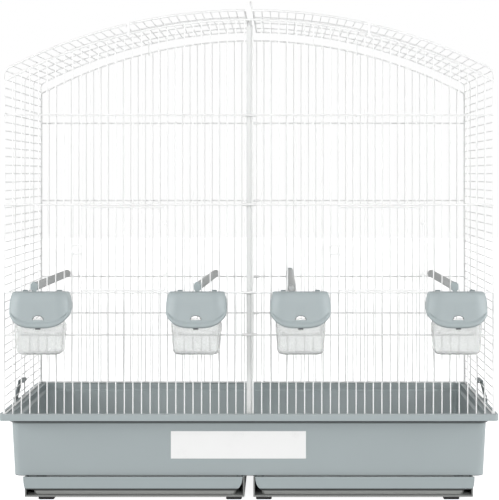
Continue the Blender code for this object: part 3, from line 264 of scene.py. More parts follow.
# Lamps: place, aim, width and height, power; the left one mirrors the right one
FRONT_LAMP = ((0.0, -3.6, 1.35), (0.0, -0.15, 0.2), (2.6, 0.5), 50.5)
RIGHT_LAMP = ((2.8, -0.9, 0.9), (0.0, 0.0, 0.35), (1.4, 0.9), 46.0)

# Left and right, each with the sign of its x
SIDES = (("left", -1), ("right", 1))

# Places read from the frame
PANEL_LOW, PANEL_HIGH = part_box("front_panel")
FRONT_Y = PANEL_HIGH.y - FRAME_RADIUS
BACK_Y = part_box("back_panel")[0].y + FRAME_RADIUS
PANEL_HALF = PANEL_HIGH.x - FRAME_RADIUS
PANEL_LOW_Z = PANEL_LOW.z + FRAME_RADIUS
SIDE_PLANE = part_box("right_side_roof_mesh")[1].x - FRAME_RADIUS
CROWN_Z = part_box("right_side_roof_mesh")[1].z - FRAME_RADIUS
ARCH_RADIUS = (SIDE_PLANE ** 2 + ARCH_RISE ** 2) / (2 * ARCH_RISE)
ARCH_CENTRE_Z = CROWN_Z - ARCH_RADIUS
PANEL_ARCH_RADIUS = ARCH_RADIUS - ARCH_STEP_DOWN
RAIL_ZS = [sum(corner.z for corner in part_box("front_divider_guide_%d" % i)) / 2
           for i in range(1, 5)]
FEEDER_RAIL_Z, PERCH_RAIL_Z, DOOR_RAIL_Z = RAIL_ZS[:3]
RAIL_OFFSET = WIRE_RADIUS + RAIL_RADIUS
JOINT_PLACES = {joint["name"]: Vector(joint.get("pos_m", (0, 0, 0)))
                for joint in frame["joints"]}
FEEDER_XS = [JOINT_PLACES["feeder_hood_%d_hinge" % i].x for i in range(1, 5)]
LUG_Y = JOINT_PLACES["feeder_hood_1_hinge"].y
TUB_SEAM_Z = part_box("base_tub")[0].z
RIM_SEAM_Z = TUB_SEAM_Z + RIM_HEIGHT
PLATE_SEAM_Z = TUB_SEAM_Z - DRAWER_PLATE_HEIGHT


# Shaping tools

def round_rod(bm, start, end, radius, sides=WIRE_SIDES):
    """Straight wire with flat ends."""
    start, end = Vector(start), Vector(end)
    way = end - start
    turn = way.to_track_quat("Z", "Y").to_matrix().to_4x4()
    bmesh.ops.create_cone(bm, cap_ends=True, segments=sides, radius1=radius, radius2=radius,
                          depth=way.length, matrix=Matrix.Translation((start + end) / 2) @ turn)


def circle(radius, sides):
    """Points of a level ring round the origin."""
    angles = [2 * math.pi * i / sides for i in range(sides)]
    return [Vector((-radius * math.sin(angle), radius * math.cos(angle), 0)) for angle in angles]


def arc(centre, radius, start, end, steps):
    """Points, as pairs, on a circle from one angle to another."""
    angles = [start + (end - start) * i / steps for i in range(steps + 1)]
    return [(centre[0] + radius * math.cos(angle), centre[1] + radius * math.sin(angle))
            for angle in angles]


def wrapped(bm, loops, ends=True):
    """Skin through rings of equally many points, its ends filled or joined; return its points."""
    ring = bmesh.ops.create_circle(bm, segments=len(loops[0]), radius=1.0)["verts"]
    edges = list({edge for vert in ring for edge in vert.link_edges})
    lowest = edges
    made = []
    for i, loop in enumerate(loops):
        if i:
            grown = bmesh.ops.extrude_edge_only(bm, edges=edges)["geom"]
            fresh = {part for part in grown if isinstance(part, bmesh.types.BMVert)}
            edges = [part for part in grown
                     if isinstance(part, bmesh.types.BMEdge) and part.is_boundary]
            ring = [next(edge.other_vert(vert) for edge in vert.link_edges
                         if edge.other_vert(vert) in fresh) for vert in ring]
        for vert, point in zip(ring, loop):
            vert.co = point
        made += ring
    if ends:
        bmesh.ops.contextual_create(bm, geom=lowest)
        bmesh.ops.contextual_create(bm, geom=edges)
    else:
        bmesh.ops.bridge_loops(bm, edges=lowest + edges)
    return made


def bent_wire(bm, points, radius, sides=WIRE_SIDES, closed=False):
    """Round wire along a line of points, mitred where the line turns."""
    points = [Vector(point) for point in points]
    if closed:
        seam = (points[0] + points[-1]) / 2
        points = [seam] + points + [seam]
    turn = (points[1] - points[0]).normalized().to_track_quat("Z", "Y").to_matrix()
    loops = [[points[0] + turn @ spot for spot in circle(radius, sides)]]
    for i in range(1, len(points)):
        way = (points[i] - points[i - 1]).normalized()
        ahead = (points[i + 1] - points[i]).normalized() if i + 1 < len(points) else way
        mitre = way + ahead
        loops.append([spot + way * (mitre.dot(points[i] - spot) / mitre.dot(way))
                      for spot in loops[-1]])
    made = wrapped(bm, loops[:-1] if closed else loops, ends=not closed)
    if closed:
        bmesh.ops.remove_doubles(bm, verts=made, dist=radius * MERGE_SHARE)


def eased(points, radius, steps=5, closed=False):
    """Line of points whose corners are turned into bends."""
    points = [Vector(point) for point in points]
    count = len(points)
    line = []
    for i, corner in enumerate(points):
        if not closed and i in (0, count - 1):
            line.append(corner)
            continue
        before, after = points[i - 1] - corner, points[(i + 1) % count] - corner
        turn = math.pi - before.angle(after)
        reach = min(radius * math.tan(turn / 2), before.length * LONGEST_BEND,
                    after.length * LONGEST_BEND)
        first, last = corner + before.normalized() * reach, corner + after.normalized() * reach
        for step in range(steps + 1):
            share = step / steps
            near, far = first.lerp(corner, share), corner.lerp(last, share)
            line.append(near.lerp(far, share))
    return line


def block(bm, low, high):
    """Box between two corners."""
    low, high = Vector(low), Vector(high)
    size = Matrix.Diagonal((*(high - low), 1.0))
    bmesh.ops.create_cube(bm, size=1.0, matrix=Matrix.Translation((low + high) / 2) @ size)


def band(bm, line, side, width, thick):
    """Flat strip along a line of points, as wide as given along side."""
    side = Vector(side)
    line = [Vector(point) for point in line]
    loops = []
    for i, point in enumerate(line):
        ways = [b - a for a, b in zip(line[max(i - 1, 0):i + 1], line[max(i - 1, 0) + 1:i + 2])]
        normals = [side.cross(way.normalized()) for way in ways]
        middle = sum(normals, Vector()).normalized()
        across = middle * (thick / 2 / middle.dot(normals[0]))
        loops.append([point + side * (s * width / 2) + across * t
                      for s, t in ((-1, -1), (1, -1), (1, 1), (-1, 1))])
    wrapped(bm, loops)


def coil(bm, centre):
    """Short close coil of wire round an upright stile."""
    for level in EYE_TURNS:
        middle = Vector(centre) + Vector((0, 0, level * EYE_TURN_PITCH))
        loops = []
        for i in range(EYE_STEPS):
            turn = Matrix.Rotation(2 * math.pi * i / EYE_STEPS, 3, "Z")
            loops.append([middle + turn @ Vector((EYE_REACH + spot.x, 0, spot.y))
                          for spot in circle(EYE_WIRE, EYE_SIDES)])
        wrapped(bm, loops, ends=False)


def copied(node):
    """The solid of a node, merged and with its flat faces whole again."""
    bm = bmesh.new()
    bm.from_mesh(frame["nodes"][node].data)
    bmesh.ops.remove_doubles(bm, verts=bm.verts, dist=MERGE_DISTANCE)
    bmesh.ops.dissolve_limit(bm, angle_limit=math.radians(FLAT_DEGREES), verts=bm.verts,
                             edges=bm.edges)
    return bm


def mesh_of(name, bm):
    """Mesh with its faces turned out and its round faces smooth."""
    bmesh.ops.recalc_face_normals(bm, faces=bm.faces)
    mesh = bpy.data.meshes.new(name)
    bm.to_mesh(mesh)
    bm.free()
    mesh.shade_smooth()
    mesh.set_sharp_from_angle(angle=math.radians(CREASE_DEGREES))
    return mesh


def placed(name, data):
    """Object with that data, put into the scene."""
    thing = bpy.data.objects.new(name, data)
    bpy.context.scene.collection.objects.link(thing)
    return thing


def piece(name, bm, finish, body, nodes, edge=0.0):
    """Piece of the cage that rides on a body and stands for its solids."""
    thing = placed(name, mesh_of(name, bm))
    for material in finish if isinstance(finish, list) else [finish]:
        thing.data.materials.append(material)
    if edge:
        rounding = thing.modifiers.new("rounded_edges", "BEVEL")
        rounding.width = edge
        rounding.segments = EDGE_SEGMENTS
        rounding.limit_method = "ANGLE"
        rounding.angle_limit = math.radians(CREASE_DEGREES)
        rounding.harden_normals = True
    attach(thing, body)
    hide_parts(*nodes)


# Finishes

def feed(tree, target, value):
    """Link a socket to an input, or set the input to a plain value."""
    if isinstance(value, bpy.types.NodeSocket):
        tree.links.new(value, target)
    else:
        target.default_value = value


def add_node(tree, kind, **values):
    """Node with its settings, named in small letters, and its inputs, named with capitals."""
    node = tree.nodes.new(kind)
    for key, value in values.items():
        if key.islower():
            setattr(node, key, value)
        else:
            feed(tree, node.inputs[key.replace("_", " ")], value)
    return node


def group_with(name, inputs, outputs):
    """New node group, with the sockets that its inputs give and those that its outputs take."""
    tree = bpy.data.node_groups.new(name, "ShaderNodeTree")
    for way, sockets in (("INPUT", inputs), ("OUTPUT", outputs)):
        for label, kind in sockets:
            tree.interface.new_socket(name=label, in_out=way, socket_type="NodeSocket" + kind)
    given, result = tree.nodes.new("NodeGroupInput"), tree.nodes.new("NodeGroupOutput")
    return tree, given.outputs, result.inputs


def maths(tree, operation, first, second):
    """One sum on two values or sockets."""
    node = add_node(tree, "ShaderNodeMath", operation=operation)
    feed(tree, node.inputs[0], first)
    feed(tree, node.inputs[1], second)
    return node.outputs[0]


def vectors(tree, operation, first, second):
    """One sum on a vector and a second one, or the factor that SCALE takes."""
    node = add_node(tree, "ShaderNodeVectorMath", operation=operation)
    feed(tree, node.inputs[0], first)
    feed(tree, node.inputs["Scale" if operation == "SCALE" else 1], second)
    return node.outputs[0]


def noise(tree, place, scale, detail):
    """Noise from 0 to 1 at a place."""
    return add_node(tree, "ShaderNodeTexNoise", Vector=place, Scale=scale,
                    Detail=detail).outputs[0]


def moulded_group():
    """Slow drift of colour, patchy gloss and fine grain of a moulded or coated surface."""
    inputs = [("Place", "Vector"), ("Colour", "Color"), ("Drift", "Float"),
              ("Patch Scale", "Float"), ("Roughness", "Float"), ("Gloss Change", "Float"),
              ("Grain Scale", "Float")]
    outputs = [("Colour", "Color"), ("Roughness", "Float"), ("Height", "Float")]
    tree, given, result = group_with("moulded_surface", inputs, outputs)
    patch = noise(tree, given["Place"], given["Patch Scale"], PATCH_DETAIL)
    fine = noise(tree, given["Place"], given["Grain Scale"], GRAIN_DETAIL)
    middle = maths(tree, "SUBTRACT", patch, NOISE_MIDDLE)
    light = maths(tree, "ADD", maths(tree, "MULTIPLY", middle, given["Drift"]), 1.0)
    feed(tree, result["Colour"], vectors(tree, "SCALE", given["Colour"], light))
    grain = maths(tree, "SUBTRACT", fine, NOISE_MIDDLE)
    spread = maths(tree, "ADD", middle, maths(tree, "MULTIPLY", grain, GRAIN_SHARE))
    gloss = maths(tree, "MULTIPLY", spread, given["Gloss Change"])
    feed(tree, result["Roughness"], maths(tree, "ADD", given["Roughness"], gloss))
    feed(tree, result["Height"], fine)
    return tree


def scuff_group():
    """Fine rubbed lines of a handled surface, as a mask from 0 to 1."""
    inputs = [("Place", "Vector"), ("Length Scale", "Float"), ("Width Scale", "Float")]
    tree, given, result = group_with("rubbed_lines", inputs, [("Mask", "Float")])
    stretch = add_node(tree, "ShaderNodeCombineXYZ", X=given["Length Scale"],
                       Y=given["Width Scale"], Z=given["Width Scale"])
    place = vectors(tree, "MULTIPLY", given["Place"], stretch.outputs[0])
    mask = add_node(tree, "ShaderNodeMapRange", Value=noise(tree, place, 1.0, RUB_DETAIL),
                    From_Min=RUB_RANGE[0], From_Max=RUB_RANGE[1])
    feed(tree, result["Mask"], mask.outputs[0])
    return tree


def seam_shade_group():
    """Painted shade along a level seam, as a mask from 1 at the seam to 0 at its reach."""
    inputs = [("Place", "Vector"), ("Seam Height", "Float"), ("Seam Reach", "Float")]
    tree, given, result = group_with("dusty_seam", inputs, [("Mask", "Float")])
    height = add_node(tree, "ShaderNodeSeparateXYZ", Vector=given["Place"])
    away = maths(tree, "SUBTRACT", given["Seam Height"], height.outputs["Z"])
    share = maths(tree, "DIVIDE", maths(tree, "ABSOLUTE", away, 0.0), given["Seam Reach"])
    mask = add_node(tree, "ShaderNodeMapRange", interpolation_type="SMOOTHSTEP", Value=share,
                    From_Min=SEAM_SHADE_FULL, From_Max=1.0, To_Min=1.0, To_Max=0.0)
    feed(tree, result["Mask"], mask.outputs[0])
    return tree


MOULDED = moulded_group()
RUBBED = scuff_group()
SEAM_SHADE_GROUP = seam_shade_group()


def plain_material(name, **constants):
    """New material with its node tree and the inputs of its shader, some of them set."""
    material = bpy.data.materials.new(name)
    material.use_nodes = True
    shader = material.node_tree.nodes["Principled BSDF"].inputs
    for key, value in constants.items():
        shader[key.replace("_", " ")].default_value = value
    return material, material.node_tree, shader


def dusty(tree, place, colour, seams):
    """Colour darkened by painted shade along level seams, each given as its height, its reach and
    how dark it is.
    """
    for height, reach, depth in seams:
        seam = add_node(tree, "ShaderNodeGroup", node_tree=SEAM_SHADE_GROUP, Place=place,
                        Seam_Height=height, Seam_Reach=reach)
        shade = maths(tree, "MULTIPLY", seam.outputs["Mask"], -depth)
        colour = vectors(tree, "SCALE", colour, maths(tree, "ADD", shade, 1.0))
    return colour


def moulded_surface(tree, colour, roughness, drift, patch, change, grain):
    """Place on the piece, and what the moulded surface gives there."""
    place = tree.nodes.new("ShaderNodeTexCoord").outputs["Object"]
    surface = add_node(tree, "ShaderNodeGroup", node_tree=MOULDED, Place=place,
                       Colour=(*colour, 1.0), Drift=drift, Patch_Scale=patch, Roughness=roughness,
                       Gloss_Change=change, Grain_Scale=grain)
    return place, surface.outputs


def moulded(name, colour, roughness, drift=0.08, patch=9.0, change=0.12, grain=1400.0, bump=0.00002,
            rubbed=0.0, seams=(), **constants):
    """Moulded or coated finish in one colour, with painted shade darkening any seams given."""
    material, tree, shader = plain_material(name, **constants)
    place, surface = moulded_surface(tree, colour, roughness, drift, patch, change, grain)
    relief = add_node(tree, "ShaderNodeBump", Height=surface["Height"], Strength=GRAIN_STRENGTH,
                      Distance=bump)
    feed(tree, shader["Normal"], relief.outputs[0])
    feed(tree, shader["Base Color"], dusty(tree, place, surface["Colour"], seams))
    gloss = surface["Roughness"]
    if rubbed:
        lines = add_node(tree, "ShaderNodeGroup", node_tree=RUBBED, Place=place,
                         Length_Scale=RUB_SCALES[0], Width_Scale=RUB_SCALES[1])
        gloss = maths(tree, "ADD", gloss, maths(tree, "MULTIPLY", lines.outputs["Mask"], rubbed))
    feed(tree, shader["Roughness"], gloss)
    return material


def clear_finish():
    """Clear slightly grey cup plastic, with the upright flow lines of its moulding."""
    material, tree, shader = plain_material("clear_feeder_plastic", IOR=CUP_IOR,
                                            Transmission_Weight=CUP_TRANSMISSION)
    place, surface = moulded_surface(tree, (0.88, 0.89, 0.885), 0.23, drift=0.05, patch=60.0,
                                     change=0.06, grain=700.0)
    feed(tree, shader["Base Color"], surface["Colour"])
    feed(tree, shader["Roughness"], surface["Roughness"])
    flow = noise(tree, vectors(tree, "MULTIPLY", place, FLOW_SCALES), 1.0, FLOW_DETAIL)
    relief = add_node(tree, "ShaderNodeBump", Height=flow, Strength=FLOW_STRENGTH,
                      Distance=FLOW_DEPTH)
    feed(tree, shader["Normal"], relief.outputs[0])
    return material


WHITE_COATING = moulded("white_coated_wire_finish", (0.94, 0.945, 0.94), 0.34, drift=0.05,
                        patch=70.0, grain=2200.0, bump=0.00003)
TUB_FINISH = moulded("blue_grey_tub_finish", (0.362, 0.411, 0.421), 0.42, rubbed=0.14)
# Copy of the tub colour for its outer walls below the rim, with painted shade in a band under the
# rim and a thin line at the bottom edge
TUB_WALL_FINISH = moulded("blue_grey_tub_wall_finish", (0.360, 0.409, 0.419), 0.42, rubbed=0.14,
                          seams=((RIM_SEAM_Z, 0.0074, 0.8), (TUB_SEAM_Z, 0.0010, 0.8)))
# The drawer's colour, with painted shade in a thin line at the plate's lower edge
DRAWER_FINISH = moulded("grey_drawer_finish", (0.345, 0.395, 0.404), 0.44, rubbed=0.14,
                        seams=((PLATE_SEAM_Z, 0.0018, 0.85),))
# Near-black painted shade, for the inner sides of the housings' walls and the drawers' top edges
PAINTED_SHADE_FINISH = moulded("painted_shade_finish", (0.040, 0.042, 0.041), 0.70,
                         Specular_IOR_Level=0.1)
HOUSING_FINISH = moulded("dark_grey_housing_finish", (0.240, 0.246, 0.239), 0.62, rubbed=0.1,
                         Specular_IOR_Level=0.25)
# The tray's colour, with painted shade under the drawer plate's lower edge
TRAY_FINISH = moulded("grey_tray_finish", (0.470, 0.482, 0.466), 0.46, rubbed=0.14,
                      seams=((PLATE_SEAM_Z, 0.0042, 0.9),))
HOOD_FINISH = moulded("blue_grey_hood_finish", (0.372, 0.425, 0.436), 0.50, drift=0.05, patch=25.0)
# Darker copy of the hood colour: painted shade on the turned-under lip and on the lugs
HOOD_SHADE_FINISH = moulded("blue_grey_hood_painted_shade", (0.270, 0.310, 0.318), 0.46, drift=0.05, patch=25.0)
# Near-black painted shade, for the catch tucked under the lip and the line over the window
HOOD_BLACK_SHADE_FINISH = moulded("catch_and_window_painted_shade", (0.045, 0.050, 0.052), 0.55, patch=60.0)
# Darkened copy of the blue-grey: painted shade of the side clips, which are seen edge-on
CLIP_SHADE_FINISH = moulded("blue_grey_clip_painted_shade", (0.200, 0.230, 0.236), 0.46, patch=60.0)
RIDGE_FINISH = moulded("grey_cup_ridge_finish", (0.30, 0.30, 0.30), 0.50, patch=60.0)
PERCH_FINISH = moulded("grey_perch_finish", (0.480, 0.490, 0.490), 0.55, patch=40.0, grain=900.0,
                       bump=0.00008)
SHEET_FINISH = moulded("white_divider_finish", (0.86, 0.87, 0.865), 0.38, drift=0.03)
LABEL_FINISH = moulded("plain_white_label_finish", (0.90, 0.90, 0.895), 0.30, drift=0.03,
                       patch=30.0, Coat_Weight=0.4, Coat_Roughness=0.2)
RUBBER_FINISH = moulded("black_foot_finish", (0.012, 0.012, 0.013), 0.85, drift=0.3, patch=80.0,
                        bump=0.00008)
PIN_FINISH = moulded("bright_pin_finish", (0.62, 0.62, 0.63), 0.28, drift=0.08, patch=200.0,
                     Metallic=1.0)
CLEAR_FINISH = clear_finish()


# Wire body

def arch_z(radius, x):
    """Height of an arch of that radius at x."""
    return ARCH_CENTRE_Z + math.sqrt(radius ** 2 - x ** 2)


def door_edges(side):
    """x of the fixed wires on both sides of the left or right door opening."""
    hinge = JOINT_PLACES[side + "_door_hinge"].x
    right = math.ceil(hinge / WIRE_PITCH - 0.5) * WIRE_PITCH + WIRE_PITCH / 2
    return right - DOOR_SPACES * WIRE_PITCH, right


def opening_at(x):
    """Rails below and above the opening that cuts the front wire at x, if one does."""
    for centre in FEEDER_XS:
        if abs(x - centre) < FEEDER_SPACES * WIRE_PITCH / 2 - WIRE_RADIUS:
            return FEEDER_RAIL_Z, PERCH_RAIL_Z
    for side, _ in SIDES:
        left, right = door_edges(side)
        if left + WIRE_RADIUS < x < right - WIRE_RADIUS:
            return PERCH_RAIL_Z, DOOR_RAIL_Z
    return None


def panel_frame(bm, y, radius):
    """Frame wire of a flat panel, with its arched top."""
    corners = [(-PANEL_HALF, y, PANEL_LOW_Z), (PANEL_HALF, y, PANEL_LOW_Z)]
    arch = []
    for i in range(ARCH_STEPS + 1):
        x = PANEL_HALF * (1 - 2 * i / ARCH_STEPS)
        arch.append((x, y, arch_z(PANEL_ARCH_RADIUS, x)))
    line = eased(corners + arch, FRAME_CORNER, steps=3, closed=True)
    bent_wire(bm, line, radius, FRAME_SIDES, closed=True)


def panel_wires(bm, y, with_openings):
    """Upright wires of a flat panel."""
    for index in range(1, FRONT_SPACES):
        x = index * WIRE_PITCH - PANEL_HALF
        top = arch_z(PANEL_ARCH_RADIUS, x)
        cut = opening_at(x) if with_openings else None
        spans = [(PANEL_LOW_Z, top)]
        if cut:
            spans = [(PANEL_LOW_Z, cut[0] + WIRE_END), (cut[1] - WIRE_END, top)]
        for low, high in spans:
            round_rod(bm, (x, y, low), (x, y, high), WIRE_RADIUS)


def build_panel(name, node, y, out, with_openings):
    """Flat wire panel: frame, upright wires and the rails outside them."""
    bm = bmesh.new()
    panel_frame(bm, y, FRAME_RADIUS if with_openings else BACK_FRAME_RADIUS)
    panel_wires(bm, y, with_openings)
    for z in RAIL_ZS:
        round_rod(bm, (-PANEL_HALF, y + out, z), (PANEL_HALF, y + out, z), RAIL_RADIUS, FRAME_SIDES)
    if with_openings:
        hinge_eyes(bm)
    piece(name, bm, WHITE_COATING, "cage", [node])


def hinge_eyes(bm):
    """Coils welded to the front wires, which the doors' stiles turn in."""
    lead = math.radians(EYE_LEAD_DEGREES)
    for side, _ in SIDES:
        low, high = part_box(side + "_door")
        axis = JOINT_PLACES[side + "_door_hinge"]
        fixed = door_edges(side)[1]
        for z in (low.z + EYE_INSET_Z, high.z - EYE_INSET_Z):
            coil(bm, (axis.x, axis.y, z))
            start = (axis.x + EYE_REACH * math.cos(lead), axis.y + EYE_REACH * math.sin(lead), z)
            round_rod(bm, start, (fixed, FRONT_Y, z), EYE_WIRE)


def half_girth(sign):
    """Bent line (x, z) of one half: up the side, round the shoulder and over the arch."""
    inner = SIDE_PLANE - SHOULDER_RADIUS
    centre_z = ARCH_CENTRE_Z + math.sqrt((ARCH_RADIUS - SHOULDER_RADIUS) ** 2 - inner ** 2)
    lean = math.atan2(centre_z - ARCH_CENTRE_Z, inner)
    end = math.acos(SLOT_WIRE_X / ARCH_RADIUS)
    line = [(SIDE_PLANE, PANEL_LOW_Z)]
    line += arc((inner, centre_z), SHOULDER_RADIUS, 0, lean, SHOULDER_STEPS)
    line += arc((0, ARCH_CENTRE_Z), ARCH_RADIUS, lean, end, ARCH_STEPS // 2)[1:]
    return [Vector((sign * x, z)) for x, z in line]


def point_along(line, distance):
    """Point on a line of points at a distance from its start."""
    left = distance
    for first, second in zip(line, line[1:]):
        length = (second - first).length
        if left <= length:
            return first.lerp(second, left / length)
        left -= length
    return line[-1]


def moved_in(line, sign, distance):
    """The bent line moved towards the inside of the cage."""
    moved = []
    for i, point in enumerate(line):
        way = (line[min(i + 1, len(line) - 1)] - line[max(i - 1, 0)]).normalized()
        moved.append(point + Vector((-way.y, way.x)) * sign * distance)
    return moved


def build_half(side, sign):
    """Bent half of the wire body: two stiles, cross wires and the long wires inside them."""
    line = half_girth(sign)
    front, back = FRONT_Y + STILE_INSET, BACK_Y - STILE_INSET
    bm = bmesh.new()
    stile = [line[0] - Vector((0, FRAME_RADIUS))] + line[1:]
    for y, radius in ((front, FRAME_RADIUS), (back, BACK_FRAME_RADIUS)):
        bent_wire(bm, [(point.x, y, point.y) for point in stile], radius, FRAME_SIDES)
    total = sum((b - a).length for a, b in zip(line, line[1:]))
    count = round(total / WIRE_PITCH)
    for i in range(count + 1):
        point = point_along(line, total * i / count)
        radius = END_BAR_RADIUS if i in (0, count) else WIRE_RADIUS
        round_rod(bm, (point.x, front, point.y), (point.x, back, point.y), radius)
    inner = moved_in(line, sign, WIRE_RADIUS + LONG_RADIUS)
    for i in range(1, LONG_WIRE_SPACES):
        y = front + (back - front) * i / LONG_WIRE_SPACES
        bent_wire(bm, [(point.x, y, point.y) for point in inner], LONG_RADIUS)
    piece(side + "_bent_half", bm, WHITE_COATING, "cage", [side + "_side_roof_mesh"])


# Doors and latches

def build_door(side):
    """Wire door that turns on its right stile."""
    low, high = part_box(side + "_door")
    axis = JOINT_PLACES[side + "_door_hinge"]
    left = door_edges(side)[0]
    low_z, high_z = low.z + DOOR_FRAME_RADIUS, high.z - DOOR_FRAME_RADIUS
    bm = bmesh.new()
    corners = [(left, axis.y, low_z), (axis.x, axis.y, low_z), (axis.x, axis.y, high_z),
               (left, axis.y, high_z)]
    line = eased(corners, DOOR_CORNER, steps=4, closed=True)
    bent_wire(bm, line, DOOR_FRAME_RADIUS, FRAME_SIDES, closed=True)
    for i in range(1, DOOR_SPACES):
        x = left + i * WIRE_PITCH
        round_rod(bm, (x, axis.y, low_z), (x, axis.y, high_z), WIRE_RADIUS)
    piece(side + "_wire_door", bm, WHITE_COATING, side + "_door_body",
          [side + "_door"])


def build_latch(side):
    """Wire loop wound round the door's free stile."""
    low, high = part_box(side + "_door_latch")
    axis = JOINT_PLACES[side + "_latch_hinge"]
    ends = [EYE_TURN_PITCH + EYE_WIRE + low.z, high.z - EYE_TURN_PITCH - EYE_WIRE]
    bm = bmesh.new()
    start, far = axis.x - EYE_REACH, axis.x - LATCH_REACH
    corners = [(start, axis.y, ends[0]), (far, axis.y, ends[0]), (far, axis.y, ends[1]),
               (start, axis.y, ends[1])]
    bent_wire(bm, eased(corners, LATCH_CORNER), LATCH_RADIUS, FRAME_SIDES)
    for z in ends:
        coil(bm, (axis.x, axis.y, z))
    piece(side + "_latch_loop", bm, WHITE_COATING, side + "_door_latch_body",
          [side + "_door_latch"])


# Feeder hoods and cups

def front_out(distance):
    """y of a point that far in front of the front wires."""
    return FRONT_Y - distance


def hood_fade(x, power):
    """1 in the middle of a hood and 0 at its sides; a high power keeps it near 1 for longer."""
    return 1 - min(abs(x) / HOOD_HALF_WIDTH, 1.0) ** power


def hood_low_z(x):
    """Height of the hood's lower edge, which drops towards the middle."""
    front, side = PERCH_RAIL_Z - HOOD_FRONT_DROP, PERCH_RAIL_Z - HOOD_SIDE_DROP
    return side + (front - side) * hood_fade(x, HOOD_EDGE_POWER)


def hood_line(inset, rear, flare, share):
    """Point (x, reach) on the hood's outline, seen from above, at a share of its length."""
    radius = HOOD_FRONT_RADIUS
    across, bend = HOOD_HALF_WIDTH - radius, math.pi / 2 * radius
    side = HOOD_REACH - radius - HOOD_REAR
    left = abs(share - 0.5) * 2 * (side + bend + across)
    turn = min(max(left - across, 0.0) / radius, math.pi / 2)
    flat = min(left / across, 1.0)
    place = across * flat + radius * math.sin(turn)
    own = inset + flare * hood_fade(place, HOOD_FLARE_POWER)
    x = (across - own) * flat + radius * math.sin(turn)
    back = max(left - across - bend, 0.0) / side
    reach = (HOOD_REACH - own - radius + radius * math.cos(turn)) * (1 - back) + rear * back
    return math.copysign(x, share - 0.5), reach


def hood_rows():
    """Rows of the hood from its lip to its top: inset, rear reach, flare, rise and height."""
    rows = [(inset, HOOD_REAR, HOOD_FLARE * share, rise, None)
            for inset, share, rise in HOOD_LIP_ROWS]
    for level in HOOD_CROWN_LEVELS:
        lean = HOOD_CROWN_LEAN * level + (1 - HOOD_CROWN_LEAN) * (1 - math.sqrt(1 - level ** 2))
        z = PERCH_RAIL_Z + HOOD_TOP_RISE - HOOD_CROWN_FALL * (1 - level)
        rows.append((HOOD_TOP_INSET * lean, HOOD_REAR + HOOD_TOP_REAR * lean, HOOD_FLARE, 0.0, z))
    return rows


def hood_shell(bm, centre):
    """Hood with a flared lip, a flat face and a rounded shoulder, open behind and below."""
    rows = hood_rows()
    grid = bmesh.ops.create_grid(bm, x_segments=HOOD_COLUMNS, y_segments=len(rows) - 1,
                                 size=1.0)["verts"]
    highest = []
    for vert in grid:
        share = (vert.co.x + 1) / 2
        inset, rear, flare, rise, z = rows[round((vert.co.y + 1) / 2 * (len(rows) - 1))]
        if vert.co.y > 1 - 0.5 / len(rows):
            highest.append(vert)
        x, reach = hood_line(inset, rear, flare, share)
        back = 1 - min((reach - HOOD_REAR) / (HOOD_REACH - HOOD_FRONT_RADIUS - HOOD_REAR), 1.0)
        low = hood_low_z(x) + HOOD_BACK_RISE * back ** 2
        corner = HOOD_CORNER_FALL * (abs(x) / HOOD_HALF_WIDTH) ** HOOD_CORNER_POWER
        vert.co = (centre + x, front_out(reach), low + rise if z is None else z - corner)
    edges = [edge for edge in bm.edges if edge.verts[0] in highest and edge.verts[1] in highest]
    ends = sorted(highest, key=lambda vert: vert.co.y)[-2:]
    closing = bm.edges.new(ends)
    bmesh.ops.contextual_create(bm, geom=edges + [closing])
    bmesh.ops.recalc_face_normals(bm, faces=bm.faces)
    bmesh.ops.solidify(bm, geom=bm.faces[:], thickness=HOOD_WALL)


def hood_lug(bm, x):
    """Open hook over the rail, with its arm to the hood's top."""
    start, end = math.radians(-LUG_FRONT_DEGREES), math.radians(LUG_BACK_DEGREES)
    middle, thick = (LUG_INNER + LUG_OUTER) / 2, LUG_OUTER - LUG_INNER
    ring = arc((0, PERCH_RAIL_Z), middle, start, end, LUG_STEPS)
    band(bm, [(x, LUG_Y - reach, z) for reach, z in ring], (1, 0, 0), LUG_WIDTH, thick)
    low = PERCH_RAIL_Z + HOOD_TOP_RISE - HOOD_WALL / 2 - LUG_ARM_HEIGHT
    block(bm, (x - LUG_ARM_WIDTH / 2, LUG_Y - middle - LUG_ARM_LENGTH, low),
          (x + LUG_ARM_WIDTH / 2, LUG_Y - middle, low + LUG_ARM_HEIGHT))


def window_arc(centre):
    """Arched top of the hood's window as points (x, z)."""
    sill = PERCH_RAIL_Z - WINDOW_DROP
    return [(centre + WINDOW_HALF_WIDTH * x, sill + WINDOW_HEIGHT * z)
            for x, z in arc((0, 0), 1, 0, math.pi, WINDOW_STEPS)]


def window_cutter(centre):
    """Half-moon prism that cuts the hood's window."""
    bm = bmesh.new()
    wrapped(bm, [[(x, front_out(reach), z) for x, z in window_arc(centre)]
                 for reach in (HOOD_REACH + HOOD_WALL, HOOD_REACH - HOOD_FRONT_RADIUS)])
    return placed("window_cutter", mesh_of("window_cutter", bm))


def cut_out(bm, cutter):
    """The shape of a bmesh with a cutter taken out of it."""
    blank = placed("hood_blank", mesh_of("hood_blank", bm))
    cut = blank.modifiers.new("window", "BOOLEAN")
    cut.operation = "DIFFERENCE"
    cut.solver = "EXACT"
    cut.object = cutter
    graph = bpy.context.evaluated_depsgraph_get()
    shaped = blank.evaluated_get(graph).to_mesh()
    result = bmesh.new()
    result.from_mesh(shaped)
    for thing in (blank, cutter):
        bpy.data.objects.remove(thing, do_unlink=True)
    return result


def paint_new(bm, known, index):
    """Give a finish to the faces that aren't among the known ones, and return every face."""
    for patch in set(bm.faces) - known:
        patch.material_index = index
    return set(bm.faces)


